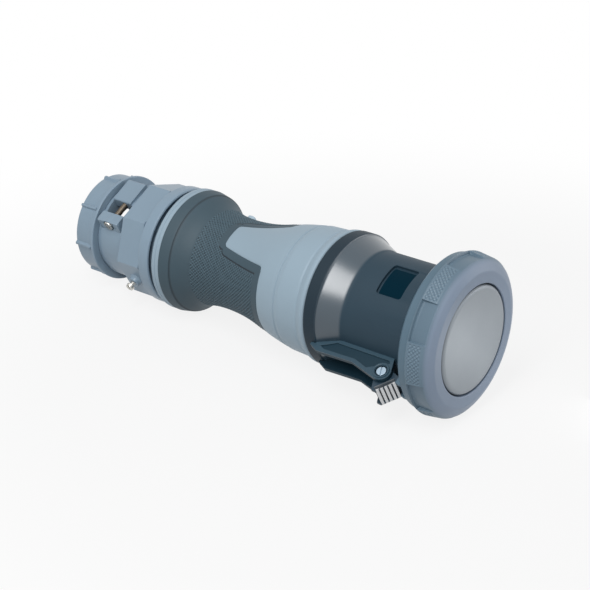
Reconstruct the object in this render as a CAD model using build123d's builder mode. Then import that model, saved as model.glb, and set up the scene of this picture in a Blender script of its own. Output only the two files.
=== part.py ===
# Pin and sleeve cable connector with a hinged bayonet lid and a clamped cable gland.
# Millimetres. X is the connector's axis, towards the lid. Z is up. The origin is the
# centre of the contact face. Angles round the axis are counted from +Z towards -Y.
import os
from math import cos, radians, sin, sqrt

from build123d import *

os.makedirs("parts", exist_ok=True)

# Clearances
running_gap = 0.35      # between turning or sliding moulded faces
fit_gap = 0.1           # between fixed mating faces
pin_gap = 0.05          # radial, pins and screws in their holes

# Contact face and plug shroud
barrel_r = 34.9
shroud_gap = 5.4        # room for the plug's shroud round the contact barrel
shroud_depth = 55.0
collar_wall = 3.0
collar_in = barrel_r + shroud_gap
collar_r = collar_in + collar_wall

# Front housing along the axis
cylinder_end = -75.0
cone_end = -93.0
housing_end = -104.0
handle_front_r = 51.6
flange_step = 0.4       # from the handle's front edge up to the flange
flange_r = handle_front_r + flange_step
cone_r = 50.9
shoulder_t = 3.0
shoulder_r = 36.0
chamber_r = 40.9
socket_r = 46.0         # rear socket that takes the handle
socket_depth = 12.0

# Key and bayonet lugs
hinge_angle = 120.0
key_angle = hinge_angle + 180.0
key_width = 9.0
key_depth = 1.8
key_ridge_r = 46.0
key_ridge_front = -12.0
lock_turn = 40.0
lug_half_angle = 10.0
housing_lug_r = 47.0
housing_lug_rear = -4.0
housing_lug_front = -0.5

# Contacts
contact_circle_r = 21.0
contact_wall = 1.7
phase_bore_r = 4.1
earth_bore_r = 5.1
pilot_bore_r = 3.1
contact_recess = 4.0
contact_bore_depth = 42.0
barrel_bore_r = 31.0
barrel_tip = 1.0        # bevelled tip of the barrel in front of the contact face
face_front = 0.6
face_t = 9.0
carrier_t = 5.0
terminal_length = 17.0
terminal_extra_r = 1.3
terminal_screw_r = 2.4
wire_hole_r = 3.4

# Lid, bayonet ring and hinge
seal_t = 3.1
seal_r = 44.4
seal_bore_r = 40.2
lid_back = 2.0          # back face of the lid disc
lid_disc_t = 2.8
ring_front = 9.0
ring_bore_r = 51.35
ring_rear = -9.0
ring_r = 61.0
ring_mid_r = 58.7       # at the front shoulder
ring_window_r = 41.6
ring_pocket_r = 58.3
pocket_half_angle = 14.5
pocket_count = 6
plate_r = 40.4
finger_wall = 2.0
hoop_length = 7.7
hoop_r = 58.4
pin_x = -33.0
pin_height = 54.0
pin_r = 2.9
pin_head_r = 3.6
ear_out = 12.5
ear_wall = 3.5
ear_back = 25.0         # from the pin to the ear's rear hump
boss_r = 7.5
knuckle_r = 6.2
knuckle_wall = 2.0
spring_wire_r = 0.65
spring_turns = 5.0

# Handle
spigot_r = 40.0
spigot_end = -285.0
grip_front = -153.0
grip_rear = -249.0
grip_wall = 2.2
shell_wall = 3.3
rim_r = 49.2
grip_rim_r = 49.1
rim_end = -253.5
panel_angle = 28.0
panel_rear = -199.0
panel_rear_half = 10.6
panel_front_half = 20.5

# Cable clamp and gland
nut_front = -257.0
ring_nut_end = -270.0
nut_rear = -294.0
nut_ring_r = 47.5
nut_flat_r = 44.3
nut_corner_r = 46.6
clamp_tube_r = 37.0
clamp_bore_r = 31.0
clamp_flange_r = 39.6
clamp_flange_t = 5.5
clamp_split = 2.0       # height of the body's open edge towards the saddle
clamp_front = -296.5
clamp_rear = -319.0
thread_r = 36.0
gland_r = 29.0
gland_depth = 12.5
cable_r = 16.6
saddle_reach = 23.0
saddle_tab_t = 8.0
saddle_half = 39.0
saddle_crown_r = 37.5
clamp_screw_offset = 34.8
clamp_screw_r = 2.45
clamp_head_r = 4.3
clamp_head_t = 2.6
square_nut = 8.0
square_nut_t = 4.0
end_nut_front = -322.5
end_nut_length = 21.5
end_nut_rear = end_nut_front - end_nut_length
end_nut_r = 40.6
end_nut_lip_r = 43.0
end_nut_travel = 3.0
end_nut_rib_count = 8
thrust_t = 3.0
nut_back_wall = 3.0
nut_floor = end_nut_rear + nut_back_wall
gland_mouth = nut_floor + end_nut_travel + 0.5
gland_seat = gland_mouth + gland_depth
nut_window_r = 24.0


def radial(angle, height, x=0.0, aside=0.0):
    """The point at this height over the axis, at this angle, moved aside along the tangent."""
    a = radians(angle)
    return (x, -height * sin(a) - aside * cos(a), height * cos(a) - aside * sin(a))


def side_plane(angle, aside=0.0):
    """The plane through the axis at this angle: local x along +X, local y outwards."""
    a = radians(angle)
    return Plane(origin=radial(angle, 0, 0, aside), x_dir=(1, 0, 0), z_dir=(0, -cos(a), -sin(a)))


def face_plane(angle, height, x=0.0, aside=0.0):
    """The plane across the radius at this angle and height: local x along +X, normal outwards."""
    a = radians(angle)
    return Plane(
        origin=radial(angle, height, x, aside), x_dir=(1, 0, 0), z_dir=(0, -sin(a), cos(a))
    )


def cross_plane(x, angle=0.0):
    """The plane across the axis at x, normal +X, local y outwards at this angle."""
    a = radians(angle)
    return Plane(origin=(x, 0, 0), x_dir=(0, cos(a), sin(a)), z_dir=(1, 0, 0))


def sector(start, sweep, x0, x1, r0, r1):
    """Adds or cuts a block of a ring, from a rectangle turned about the axis."""
    with BuildPart(mode=Mode.PRIVATE) as block:
        with BuildSketch(side_plane(start)):
            with BuildLine():
                Polyline((x0, r0), (x1, r0), (x1, r1), (x0, r1), close=True)
            make_face()
        revolve(axis=Axis.X, revolution_arc=sweep)
    return block.part


def ring_solid(x0, x1, r0, r1):
    """A plain ring about the axis."""
    with BuildPart(mode=Mode.PRIVATE) as ring:
        with BuildSketch(cross_plane(x0)):
            Circle(r1)
            Circle(r0, mode=Mode.SUBTRACT)
        extrude(amount=x1 - x0)
    return ring.part


def curved_block(place, size, radii):
    """A rounded rectangle on the side of a cylinder, with curved floor and top.

    place is its angle and x, size its length, width and corner, radii its floor and top.
    """
    with BuildPart(mode=Mode.PRIVATE) as block:
        with BuildSketch(face_plane(place[0], 0, place[1])):
            RectangleRounded(size[0], size[1], size[2])
        extrude(amount=radii[1] + 1)
        add(
            ring_solid(place[1] - size[0], place[1] + size[0], radii[0], radii[1]),
            mode=Mode.INTERSECT,
        )
    return block.part


def stretch(whole, x0, x1):
    """The stretch of a piece between two places on the axis."""
    with BuildPart(mode=Mode.PRIVATE) as part_of_it:
        with BuildSketch(cross_plane(x0)):
            Circle(ring_r)
        extrude(amount=x1 - x0)
        add(whole, mode=Mode.INTERSECT)
    return part_of_it.part


def save(piece, name):
    """Labels a finished piece and writes its file."""
    piece.part.label = name
    export_step(piece.part, f"parts/{name}.step")


# Front housing: the collar for the plug, the cone and rear flange, two bayonet lugs,
# and the keyway. The hinge ears follow as solids of their own.
insert_seat = -shroud_depth - shoulder_t
housing_lug_angles = (hinge_angle + 90 + lock_turn, hinge_angle - 90 + lock_turn)
ear_in = ear_out - ear_wall
window_x = -44.5
window_length = 21.0
window_angle = 28.0
window_width = 27.5
window_depth = 2.1
head_recess_r = 4.5
head_recess_depth = 1.5
ear_web_sink = 1.0
insert_screw_circle = 37.9
insert_screw_r = 1.45
insert_screw_angles = (60.0, 180.0, 300.0)

with BuildPart() as whole_housing:
    with BuildSketch(Plane.XZ):
        with BuildLine():
            Polyline(
                (0, collar_in),
                (0, collar_r - 0.6),
                (-0.6, collar_r),
                (cylinder_end, collar_r),
                (cone_end, cone_r),
                (cone_end - 0.8, flange_r),
                (housing_end + 1.2, flange_r),
                (housing_end, flange_r - 1.2),
                (housing_end, socket_r),
                (housing_end + socket_depth, socket_r),
                (housing_end + socket_depth, chamber_r),
                (insert_seat, chamber_r),
                (insert_seat, shoulder_r),
                (-shroud_depth, shoulder_r),
                (-shroud_depth, collar_in),
                close=True,
            )
        make_face()
    revolve(axis=Axis.X)
    for angle in housing_lug_angles:
        add(
            sector(
                angle - lug_half_angle,
                2 * lug_half_angle,
                housing_lug_rear,
                housing_lug_front,
                collar_r - 0.5,
                housing_lug_r,
            )
        )
    with BuildSketch(side_plane(key_angle)):
        with BuildLine():
            Polyline(
                (key_ridge_front, collar_r - 1),
                (key_ridge_front - 2.5, key_ridge_r),
                (cylinder_end, key_ridge_r),
                (cylinder_end - 8, collar_r - 1),
                close=True,
            )
        make_face()
    extrude(amount=key_width / 2 + 2, both=True)
    with BuildSketch(face_plane(key_angle, 0)):
        with BuildLine():
            Polyline(
                (1, key_width / 2),
                (-shroud_depth, key_width / 2),
                (-shroud_depth, -key_width / 2),
                (1, -key_width / 2),
                close=True,
            )
        make_face()
    extrude(amount=collar_in + key_depth, mode=Mode.SUBTRACT)

    # Screw holes for the contact insert
    for angle in insert_screw_angles:
        with BuildSketch(Plane(origin=radial(angle, insert_screw_circle, insert_seat), z_dir=(1, 0, 0))):
            Circle(insert_screw_r + pin_gap)
        extrude(amount=shoulder_t - 0.5, mode=Mode.SUBTRACT)

    # The sunk field for the blank window, its floor following the cylinder
    add(
        curved_block(
            (window_angle, window_x),
            (window_length, window_width, 2.2),
            (collar_r - window_depth, collar_r + 1),
        ),
        mode=Mode.SUBTRACT,
    )
with BuildPart() as front_housing:
    add(stretch(whole_housing.part, -shroud_depth, 1))
save(front_housing, "front_housing")

# Housing chamber and base: the shoulder with the chamber behind it, and the cone with the
# rear flange. They are solids of their own so that their hollows stay open.
with BuildPart() as housing_chamber:
    add(stretch(whole_housing.part, cylinder_end, -shroud_depth))
save(housing_chamber, "housing_chamber")
with BuildPart() as housing_base:
    add(stretch(whole_housing.part, housing_end, cylinder_end))
save(housing_base, "housing_base")

# Hinge ears: moulded with the housing, each with a boss round the pin and a raised rim
# round a sunk web, and its foot on the collar, the cone and the flange.
ear_foot_gap = 0.02
with BuildPart() as ear_foot:
    with BuildSketch(Plane.XZ):
        with BuildLine():
            Polyline(
                (1, 0),
                (1, collar_r + ear_foot_gap),
                (cylinder_end, collar_r + ear_foot_gap),
                (cone_end, cone_r + ear_foot_gap),
                (cone_end - 0.8, flange_r + ear_foot_gap),
                (housing_end - 1, flange_r + ear_foot_gap),
                (housing_end - 1, 0),
                close=True,
            )
        make_face()
    revolve(axis=Axis.X)
for letter, side in (("a", -1), ("b", 1)):
    with BuildPart() as hinge_ear:
        with BuildSketch(side_plane(hinge_angle, side * ear_in)):
            with BuildLine():
                Polyline(
                    (cone_end - 3.5, collar_in + 0.9),
                    (cone_end - 3.5, pin_height - 1.5),
                    (cone_end + 4, pin_height + 2),
                    (pin_x - ear_back, pin_height + 1),
                    (pin_x - 1.2, pin_height + boss_r - 0.1),
                    (pin_x + boss_r - 0.3, pin_height - 2),
                    (pin_x + 3.2, collar_in + 0.9),
                    close=True,
                )
            make_face()
            with Locations((pin_x, pin_height)):
                Circle(boss_r)
        extrude(amount=side * ear_wall)
        with BuildSketch(side_plane(hinge_angle, side * ear_out)):
            with BuildLine():
                Polyline(
                    (cone_end + 5, pin_height - 3),
                    (cone_end + 9, pin_height - 1.2),
                    (pin_x - ear_back + 1, pin_height - 2),
                    (pin_x - 12, pin_height + 1.5),
                    (pin_x + 3, pin_height - boss_r),
                    (pin_x + 1, collar_r + 1.2),
                    (cylinder_end - 2, collar_r + 1.2),
                    close=True,
                )
            make_face()
            with Locations((pin_x, pin_height)):
                Circle(boss_r - 0.6, mode=Mode.SUBTRACT)
        extrude(amount=-side * ear_web_sink, mode=Mode.SUBTRACT)
        with BuildSketch(side_plane(hinge_angle)):
            with Locations((pin_x, pin_height)):
                Circle(pin_r + pin_gap)
        extrude(amount=side * (ear_out + 1), mode=Mode.SUBTRACT)
        with BuildSketch(side_plane(hinge_angle, side * ear_out)):
            with Locations((pin_x, pin_height)):
                Circle(head_recess_r)
        extrude(amount=-side * head_recess_depth, mode=Mode.SUBTRACT)
        add(ear_foot.part, mode=Mode.SUBTRACT)
    save(hinge_ear, f"hinge_ear_{letter}")

# Window insert: a thin curved blank in the sunk field of the housing.
with BuildPart() as window_insert:
    add(
        curved_block(
            (window_angle + 1.6, window_x + 0.8),
            (window_length - 2.0, window_width - 3.6, 1.2),
            (collar_r - window_depth + 0.02, collar_r - window_depth + 0.8),
        )
    )
save(window_insert, "window_insert")

# Contact insert: a barrel, the contact face in its mouth and the carrier plate behind it,
# which is screwed to the shoulder inside the housing. Face and carrier hold the sockets.
contacts = {
    "contact_l1": (key_angle + 72, phase_bore_r),
    "contact_l2": (key_angle + 144, phase_bore_r),
    "contact_l3": (key_angle + 216, phase_bore_r),
    "contact_neutral": (key_angle + 288, phase_bore_r),
    "contact_earth": (key_angle, earth_bore_r),
}
insert_rear = insert_seat - carrier_t
contact_places = {
    name: (radial(angle, contact_circle_r), angle, bore) for name, (angle, bore) in contacts.items()
}
contact_places["contact_pilot"] = ((0.0, 0.0, 0.0), key_angle, pilot_bore_r)


def contact_plane(place, x):
    """The plane across a contact's own axis."""
    return Plane(origin=(x, place[1], place[2]), x_dir=(0, 1, 0), z_dir=(1, 0, 0))


with BuildPart() as contact_barrel:
    with BuildSketch(Plane.XZ):
        with BuildLine():
            Polyline(
                (barrel_tip, barrel_bore_r),
                (barrel_tip, barrel_r - barrel_tip),
                (0, barrel_r),
                (insert_seat, barrel_r),
                (insert_seat, barrel_bore_r),
                close=True,
            )
        make_face()
    revolve(axis=Axis.X)
save(contact_barrel, "contact_barrel")

face_seat_gap = 0.02
with BuildPart() as contact_face:
    with BuildSketch(cross_plane(face_front - face_t)):
        Circle(barrel_bore_r - face_seat_gap)
        for place, angle, bore in contact_places.values():
            with Locations(place[1:]):
                Circle(bore + contact_wall + fit_gap, mode=Mode.SUBTRACT)
    extrude(amount=face_t)
save(contact_face, "contact_face")

with BuildPart() as contact_carrier:
    with BuildSketch(cross_plane(insert_rear)):
        Circle(chamber_r - fit_gap)
        for place, angle, bore in contact_places.values():
            with Locations(place[1:]):
                Circle(bore + contact_wall + fit_gap, mode=Mode.SUBTRACT)
        for angle in insert_screw_angles:
            with Locations(radial(angle, insert_screw_circle)[1:]):
                Circle(insert_screw_r + 0.25, mode=Mode.SUBTRACT)
    extrude(amount=carrier_t)
save(contact_carrier, "contact_carrier")

# Contact sockets: turned sleeves, slit at the front to grip the pin, each with a
# terminal head behind the insert.
slit_width = 0.8
slit_length = 22.0
wire_hole_depth = 13.0
terminal_middle = insert_rear - terminal_length / 2 - 1.0
for name, (place, angle, bore) in contact_places.items():
    sleeve_r = bore + contact_wall
    terminal_r = sleeve_r + terminal_extra_r
    with BuildPart() as contact:
        with BuildSketch(contact_plane(place, insert_rear)):
            Circle(sleeve_r)
        extrude(amount=-contact_recess - fit_gap - insert_rear)
        with BuildSketch(contact_plane(place, insert_rear - terminal_length)):
            Circle(terminal_r)
        extrude(amount=terminal_length)
        with BuildSketch(contact_plane(place, -contact_recess)):
            Circle(bore)
        extrude(amount=-contact_bore_depth, mode=Mode.SUBTRACT)
        with BuildSketch(contact_plane(place, -contact_recess)):
            Rectangle(slit_width, 2 * terminal_r)
        extrude(amount=-slit_length, mode=Mode.SUBTRACT)
        with BuildSketch(contact_plane(place, insert_rear - terminal_length)):
            Circle(min(wire_hole_r, bore))
        extrude(amount=wire_hole_depth, mode=Mode.SUBTRACT)
        across = face_plane(angle, 0, terminal_middle)
        across.origin = Vector(terminal_middle, place[1], place[2])
        with BuildSketch(across):
            Circle(terminal_screw_r - 0.6 * (bore < phase_bore_r))
        extrude(amount=terminal_r + 1, mode=Mode.SUBTRACT)
    save(contact, name)

# Terminal screws: one headless slotted screw in each terminal head.
with BuildPart() as terminal_screws:
    for name, (place, angle, bore) in contact_places.items():
        screw_r = terminal_screw_r - 0.6 * (bore < phase_bore_r) - pin_gap
        across = face_plane(angle, 0, terminal_middle)
        across.origin = Vector(terminal_middle, place[1], place[2])
        terminal_r = bore + contact_wall + terminal_extra_r
        with BuildSketch(across.offset(min(wire_hole_r, bore) * 0.8)):
            Circle(screw_r)
        extrude(amount=terminal_r + 0.6 - min(wire_hole_r, bore) * 0.8)
        with BuildSketch(across.offset(terminal_r + 0.6)):
            Rectangle(0.8, 2 * screw_r + 1)
        extrude(amount=-1.0, mode=Mode.SUBTRACT)
save(terminal_screws, "terminal_screws")

# Insert screws: three pan heads behind the insert's flange.
with BuildPart() as insert_screws:
    for angle in insert_screw_angles:
        place = radial(angle, insert_screw_circle, insert_rear)
        with BuildSketch(Plane(origin=place, z_dir=(1, 0, 0))):
            Circle(insert_screw_r)
        extrude(amount=carrier_t + shoulder_t - 1.0)
        with BuildSketch(Plane(origin=place, z_dir=(-1, 0, 0))):
            Circle(2.6)
        extrude(amount=2.0)
save(insert_screws, "insert_screws")

# Handle shell: the light moulded body from the housing's socket to the threaded spigot,
# smooth at the panels and sunk where the soft grip lies.
neck_stations = (
    (-132.0, 48.3),
    (-151.0, 44.6),
    (-173.0, 38.9),
    (-196.0, 36.0),
    (-215.0, 36.6),
    (-230.0, 41.5),
    (-237.5, 47.2),
)
groove_x = -112.5
socket_end = housing_end + socket_depth
seal_wire_r = 1.3
seal_x = housing_end + socket_depth / 2
seal_middle_r = socket_r - seal_wire_r - 0.03
handle_bore_r = 41.0


def neck_line(inset):
    """The long curve of the neck, moved in by this much."""
    with BuildLine() as line:
        Spline(*[(x, r - inset) for x, r in neck_stations])
    return line.line


with BuildPart() as grip_zone:
    with BuildSketch(Plane.XZ):
        with BuildLine():
            add(neck_line(0))
            Polyline(
                neck_stations[-1],
                (grip_rear + 1.2, grip_rim_r),
                (grip_rear, grip_rim_r - 0.7),
                (grip_rear, neck_stations[-1][1] - grip_wall),
                (neck_stations[-1][0], neck_stations[-1][1] - grip_wall),
            )
            add(neck_line(grip_wall))
            Line(
                (neck_stations[0][0], neck_stations[0][1] - grip_wall),
                neck_stations[0],
            )
        make_face()
    revolve(axis=Axis.X)
    with BuildSketch(cross_plane(grip_front)):
        Circle(ring_r)
    extrude(amount=-grip_front, mode=Mode.SUBTRACT)
    for angle in (panel_angle, panel_angle + 180):
        with BuildSketch(face_plane(angle, 0)):
            with BuildLine():
                Polyline(
                    (grip_front + 2, panel_front_half + 6),
                    (grip_front - 3, panel_front_half),
                    (panel_rear, panel_rear_half),
                    (panel_rear, -panel_rear_half),
                    (grip_front - 3, -panel_front_half),
                    (grip_front + 2, -panel_front_half - 6),
                    close=True,
                )
            panel_face = make_face()
            fillet(panel_face.vertices().group_by(Axis.X)[0], 3.0)
        extrude(amount=ring_r, mode=Mode.SUBTRACT)

lug_x = -222.0
lug_length = 7.0
lug_width = 9.0
lug_top = 43.0
lug_root = neck_stations[3][1] - grip_wall - 1
with BuildPart() as whole_shell:
    with BuildSketch(Plane.XZ):
        with BuildLine():
            Polyline(
                neck_stations[0],
                (neck_stations[0][0], neck_stations[0][1] + 0.4),
                (groove_x - 1.2, handle_front_r - 2.2),
                (groove_x, handle_front_r - 3.0),
                (groove_x + 1.2, handle_front_r - 2.0),
                (housing_end - 3.2, handle_front_r),
                (housing_end - 0.8, handle_front_r),
                (housing_end, handle_front_r - 0.8),
                (housing_end, socket_r - fit_gap),
                (seal_x - seal_wire_r - fit_gap, socket_r - fit_gap),
                (seal_x - seal_wire_r - fit_gap, seal_middle_r - seal_wire_r - 0.02),
                (seal_x + seal_wire_r + fit_gap, seal_middle_r - seal_wire_r - 0.02),
                (seal_x + seal_wire_r + fit_gap, socket_r - fit_gap),
                (socket_end, socket_r - fit_gap),
                (socket_end, handle_bore_r),
                (neck_stations[0][0], handle_bore_r),
            )
            Line(
                (neck_stations[0][0], handle_bore_r),
                (neck_stations[0][0], neck_stations[0][1] - grip_wall - shell_wall),
            )
            add(neck_line(grip_wall + shell_wall))
            Polyline(
                (neck_stations[-1][0], neck_stations[-1][1] - grip_wall - shell_wall),
                (neck_stations[-1][0] - 4, neck_stations[-1][1] - grip_wall - shell_wall),
                (rim_end + 4, spigot_r - shell_wall - 3),
                (spigot_end, spigot_r - shell_wall - 3),
                (spigot_end, spigot_r),
                (rim_end, spigot_r),
                (rim_end, rim_r - 0.6),
                (rim_end + 0.6, rim_r),
                (grip_rear, grip_rim_r - 0.7),
                (grip_rear + 1.2, grip_rim_r),
                neck_stations[-1],
            )
            add(neck_line(0))
        make_face()
    revolve(axis=Axis.X)
    add(grip_zone.part, mode=Mode.SUBTRACT)
    # Lug for a hanging cord, opposite the hinge, standing through the grip
    with BuildSketch(face_plane(key_angle, lug_root, lug_x)):
        RectangleRounded(lug_length, lug_width, 1.5)
    extrude(amount=lug_top - lug_root)
with BuildPart() as handle_shell:
    add(stretch(whole_shell.part, grip_front, 0))
save(handle_shell, "handle_shell")

# Handle neck, waist, bell and spigot: the shell's rear parts, solids of their own so that
# their hollows stay open.
lug_rear = lug_x - lug_length / 2 - 0.5
with BuildPart() as handle_neck:
    add(stretch(whole_shell.part, panel_rear, grip_front))
save(handle_neck, "handle_neck")
with BuildPart() as handle_waist:
    add(stretch(whole_shell.part, lug_rear, panel_rear))
save(handle_waist, "handle_waist")
with BuildPart() as handle_bell:
    add(stretch(whole_shell.part, rim_end, lug_rear))
save(handle_bell, "handle_bell")
with BuildPart() as handle_spigot:
    add(stretch(whole_shell.part, spigot_end - 1, rim_end))
save(handle_spigot, "handle_spigot")

# Handle grip: the soft overmould round the neck and the flared rear rim.
with BuildPart() as handle_grip:
    add(grip_zone.part)
    with BuildSketch(face_plane(key_angle, lug_root, lug_x)):
        RectangleRounded(lug_length + 2 * fit_gap, lug_width + 2 * fit_gap, 1.5 + fit_gap)
    extrude(amount=lug_top - lug_root, mode=Mode.SUBTRACT)
save(handle_grip, "handle_grip")

# Housing seal: an O-ring between the handle's spigot and the housing's socket.
with BuildPart() as housing_seal:
    with BuildSketch(Plane.XZ):
        with Locations((seal_x, seal_middle_r)):
            Circle(seal_wire_r)
    revolve(axis=Axis.X)
save(housing_seal, "housing_seal")

# Union nut: smooth ring in front, eight-sided collar behind, a lip that holds the
# clamp body and a boss for its locking screw.
nut_lip_t = 3.0
lock_boss_r = 4.6
lock_boss_top = 47.0
lock_screw_x = -281.0
lock_screw_r = 1.6
with BuildPart() as union_nut:
    with BuildSketch(Plane.XZ):
        with BuildLine():
            Polyline(
                (nut_front, spigot_r + running_gap),
                (nut_front, nut_ring_r - 2.4),
                (nut_front - 1.6, nut_ring_r - 0.5),
                (nut_front - 4, nut_ring_r),
                (ring_nut_end + 2.5, nut_ring_r),
                (ring_nut_end, nut_corner_r),
                (nut_rear + 1.5, nut_corner_r),
                (nut_rear, nut_corner_r - 1.5),
                (nut_rear, clamp_tube_r + running_gap),
                (nut_rear + nut_lip_t, clamp_tube_r + running_gap),
                (nut_rear + nut_lip_t, spigot_r + running_gap),
                close=True,
            )
        make_face()
    revolve(axis=Axis.X)
    with BuildSketch(cross_plane(ring_nut_end, hinge_angle)):
        Circle(nut_ring_r + 2)
        RegularPolygon(nut_flat_r, 8, major_radius=False, rotation=22.5, mode=Mode.SUBTRACT)
    extrude(amount=nut_rear - ring_nut_end - 1, mode=Mode.SUBTRACT)
    with BuildSketch(face_plane(hinge_angle, nut_flat_r - 2, lock_screw_x)):
        Circle(lock_boss_r)
    extrude(amount=lock_boss_top - nut_flat_r + 2)
    with BuildSketch(face_plane(hinge_angle, spigot_r, lock_screw_x)):
        Circle(lock_screw_r + pin_gap)
    extrude(amount=lock_boss_top, mode=Mode.SUBTRACT)
save(union_nut, "union_nut")

# Nut lock screw: its tip stops the union nut against the spigot.
lock_screw_top = 52.6
lock_head_t = 2.6
lock_head_r = 3.3
with BuildPart() as nut_lock_screw:
    with BuildSketch(face_plane(hinge_angle, spigot_r + 0.02, lock_screw_x)):
        Circle(lock_screw_r)
    extrude(amount=lock_screw_top - spigot_r - 0.5)
    with BuildSketch(face_plane(hinge_angle, lock_screw_top - lock_head_t, lock_screw_x)):
        Circle(lock_head_r)
    extrude(amount=lock_head_t, taper=6)
    with BuildSketch(face_plane(hinge_angle, lock_screw_top, lock_screw_x)):
        Rectangle(0.9, 3 * lock_head_r)
    extrude(amount=-1.1, mode=Mode.SUBTRACT)
save(nut_lock_screw, "nut_lock_screw")

# Clamp body: flanged tube with its side cut open for the saddle, two screw bosses and a
# cable rest.
clamp_flange_front = nut_rear + nut_lip_t + clamp_flange_t
boss_width = 9.0
boss_bottom = -20.0
boss_x0 = clamp_rear + 0.5
boss_x1 = -300.0
nut_slot_height = -8.2
rest_half = 13.0
rest_x0 = -314.0
rest_x1 = -303.0
throat_r = 20.0


def clamp_plane(x):
    """The plane across the axis with local y towards the saddle."""
    return cross_plane(x, hinge_angle)


with BuildPart() as whole_clamp:
    with BuildSketch(Plane.XZ):
        with BuildLine():
            Polyline(
                (clamp_flange_front, clamp_bore_r),
                (clamp_flange_front, clamp_flange_r),
                (nut_rear + nut_lip_t, clamp_flange_r),
                (nut_rear + nut_lip_t, clamp_tube_r),
                (clamp_rear, clamp_tube_r),
                (clamp_rear, clamp_bore_r),
                close=True,
            )
        make_face()
    revolve(axis=Axis.X)
    for side in (-1, 1):
        with BuildSketch(clamp_plane(boss_x0)):
            with Locations((side * clamp_screw_offset, (clamp_split + boss_bottom) / 2)):
                RectangleRounded(boss_width, clamp_split - boss_bottom, 1.5)
        extrude(amount=boss_x1 - boss_x0)
    with BuildSketch(clamp_plane(rest_x0)):
        with Locations((0, -clamp_bore_r / 2 - 5)):
            Rectangle(2 * rest_half, clamp_bore_r - 7)
        Circle(cable_r + 0.6, mode=Mode.SUBTRACT)
    extrude(amount=rest_x1 - rest_x0)
    with BuildSketch(clamp_plane(clamp_rear)):
        with Locations((0, clamp_split + ring_r / 2)):
            Rectangle(2 * ring_r, ring_r)
    extrude(amount=clamp_front - clamp_rear, mode=Mode.SUBTRACT)
    clamp_screw_x = (clamp_front + clamp_rear) / 2
    for side in (-1, 1):
        with BuildSketch(face_plane(hinge_angle, clamp_split, clamp_screw_x, side * clamp_screw_offset)):
            Circle(clamp_screw_r + pin_gap)
        extrude(amount=boss_bottom - clamp_split + 2, mode=Mode.SUBTRACT)
        with BuildSketch(clamp_plane(boss_x0)):
            with Locations((side * clamp_screw_offset, nut_slot_height + square_nut_t / 2 + 0.1)):
                Rectangle(square_nut + 0.3, square_nut_t + 0.2)
        extrude(amount=clamp_screw_x - boss_x0 + square_nut / 2 + 0.1, mode=Mode.SUBTRACT)
with BuildPart() as clamp_body:
    add(stretch(whole_clamp.part, clamp_front, clamp_flange_front))
save(clamp_body, "clamp_body")

# Clamp cradle: the clamp body's open stretch, a solid of its own for the same reason.
with BuildPart() as clamp_cradle:
    add(stretch(whole_clamp.part, clamp_rear, clamp_front))
save(clamp_cradle, "clamp_cradle")

# Gland sleeve: the clamp body's rear part, with the thread for the end nut, the gland's
# mouth and the seat of its seal; a solid of its own so that its hollow stays open.
thread_front = end_nut_front + end_nut_travel + 0.4
with BuildPart() as gland_sleeve:
    with BuildSketch(Plane.XZ):
        with BuildLine():
            Polyline(
                (clamp_rear, throat_r),
                (clamp_rear, clamp_tube_r),
                (thread_front, clamp_tube_r),
                (thread_front, thread_r),
                (gland_mouth, thread_r),
                (gland_mouth, gland_r),
                (gland_seat, gland_r),
                (gland_seat, throat_r),
                close=True,
            )
        make_face()
    revolve(axis=Axis.X)
save(gland_sleeve, "gland_sleeve")

# Clamp nuts: two square nuts in the slots of the screw bosses.
with BuildPart() as clamp_nuts:
    for side in (-1, 1):
        seat = face_plane(
            hinge_angle, nut_slot_height + 0.1, clamp_screw_x, side * clamp_screw_offset
        )
        with BuildSketch(seat):
            Rectangle(square_nut, square_nut)
            Circle(clamp_screw_r + pin_gap, mode=Mode.SUBTRACT)
        extrude(amount=square_nut_t)
save(clamp_nuts, "clamp_nuts")

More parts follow.
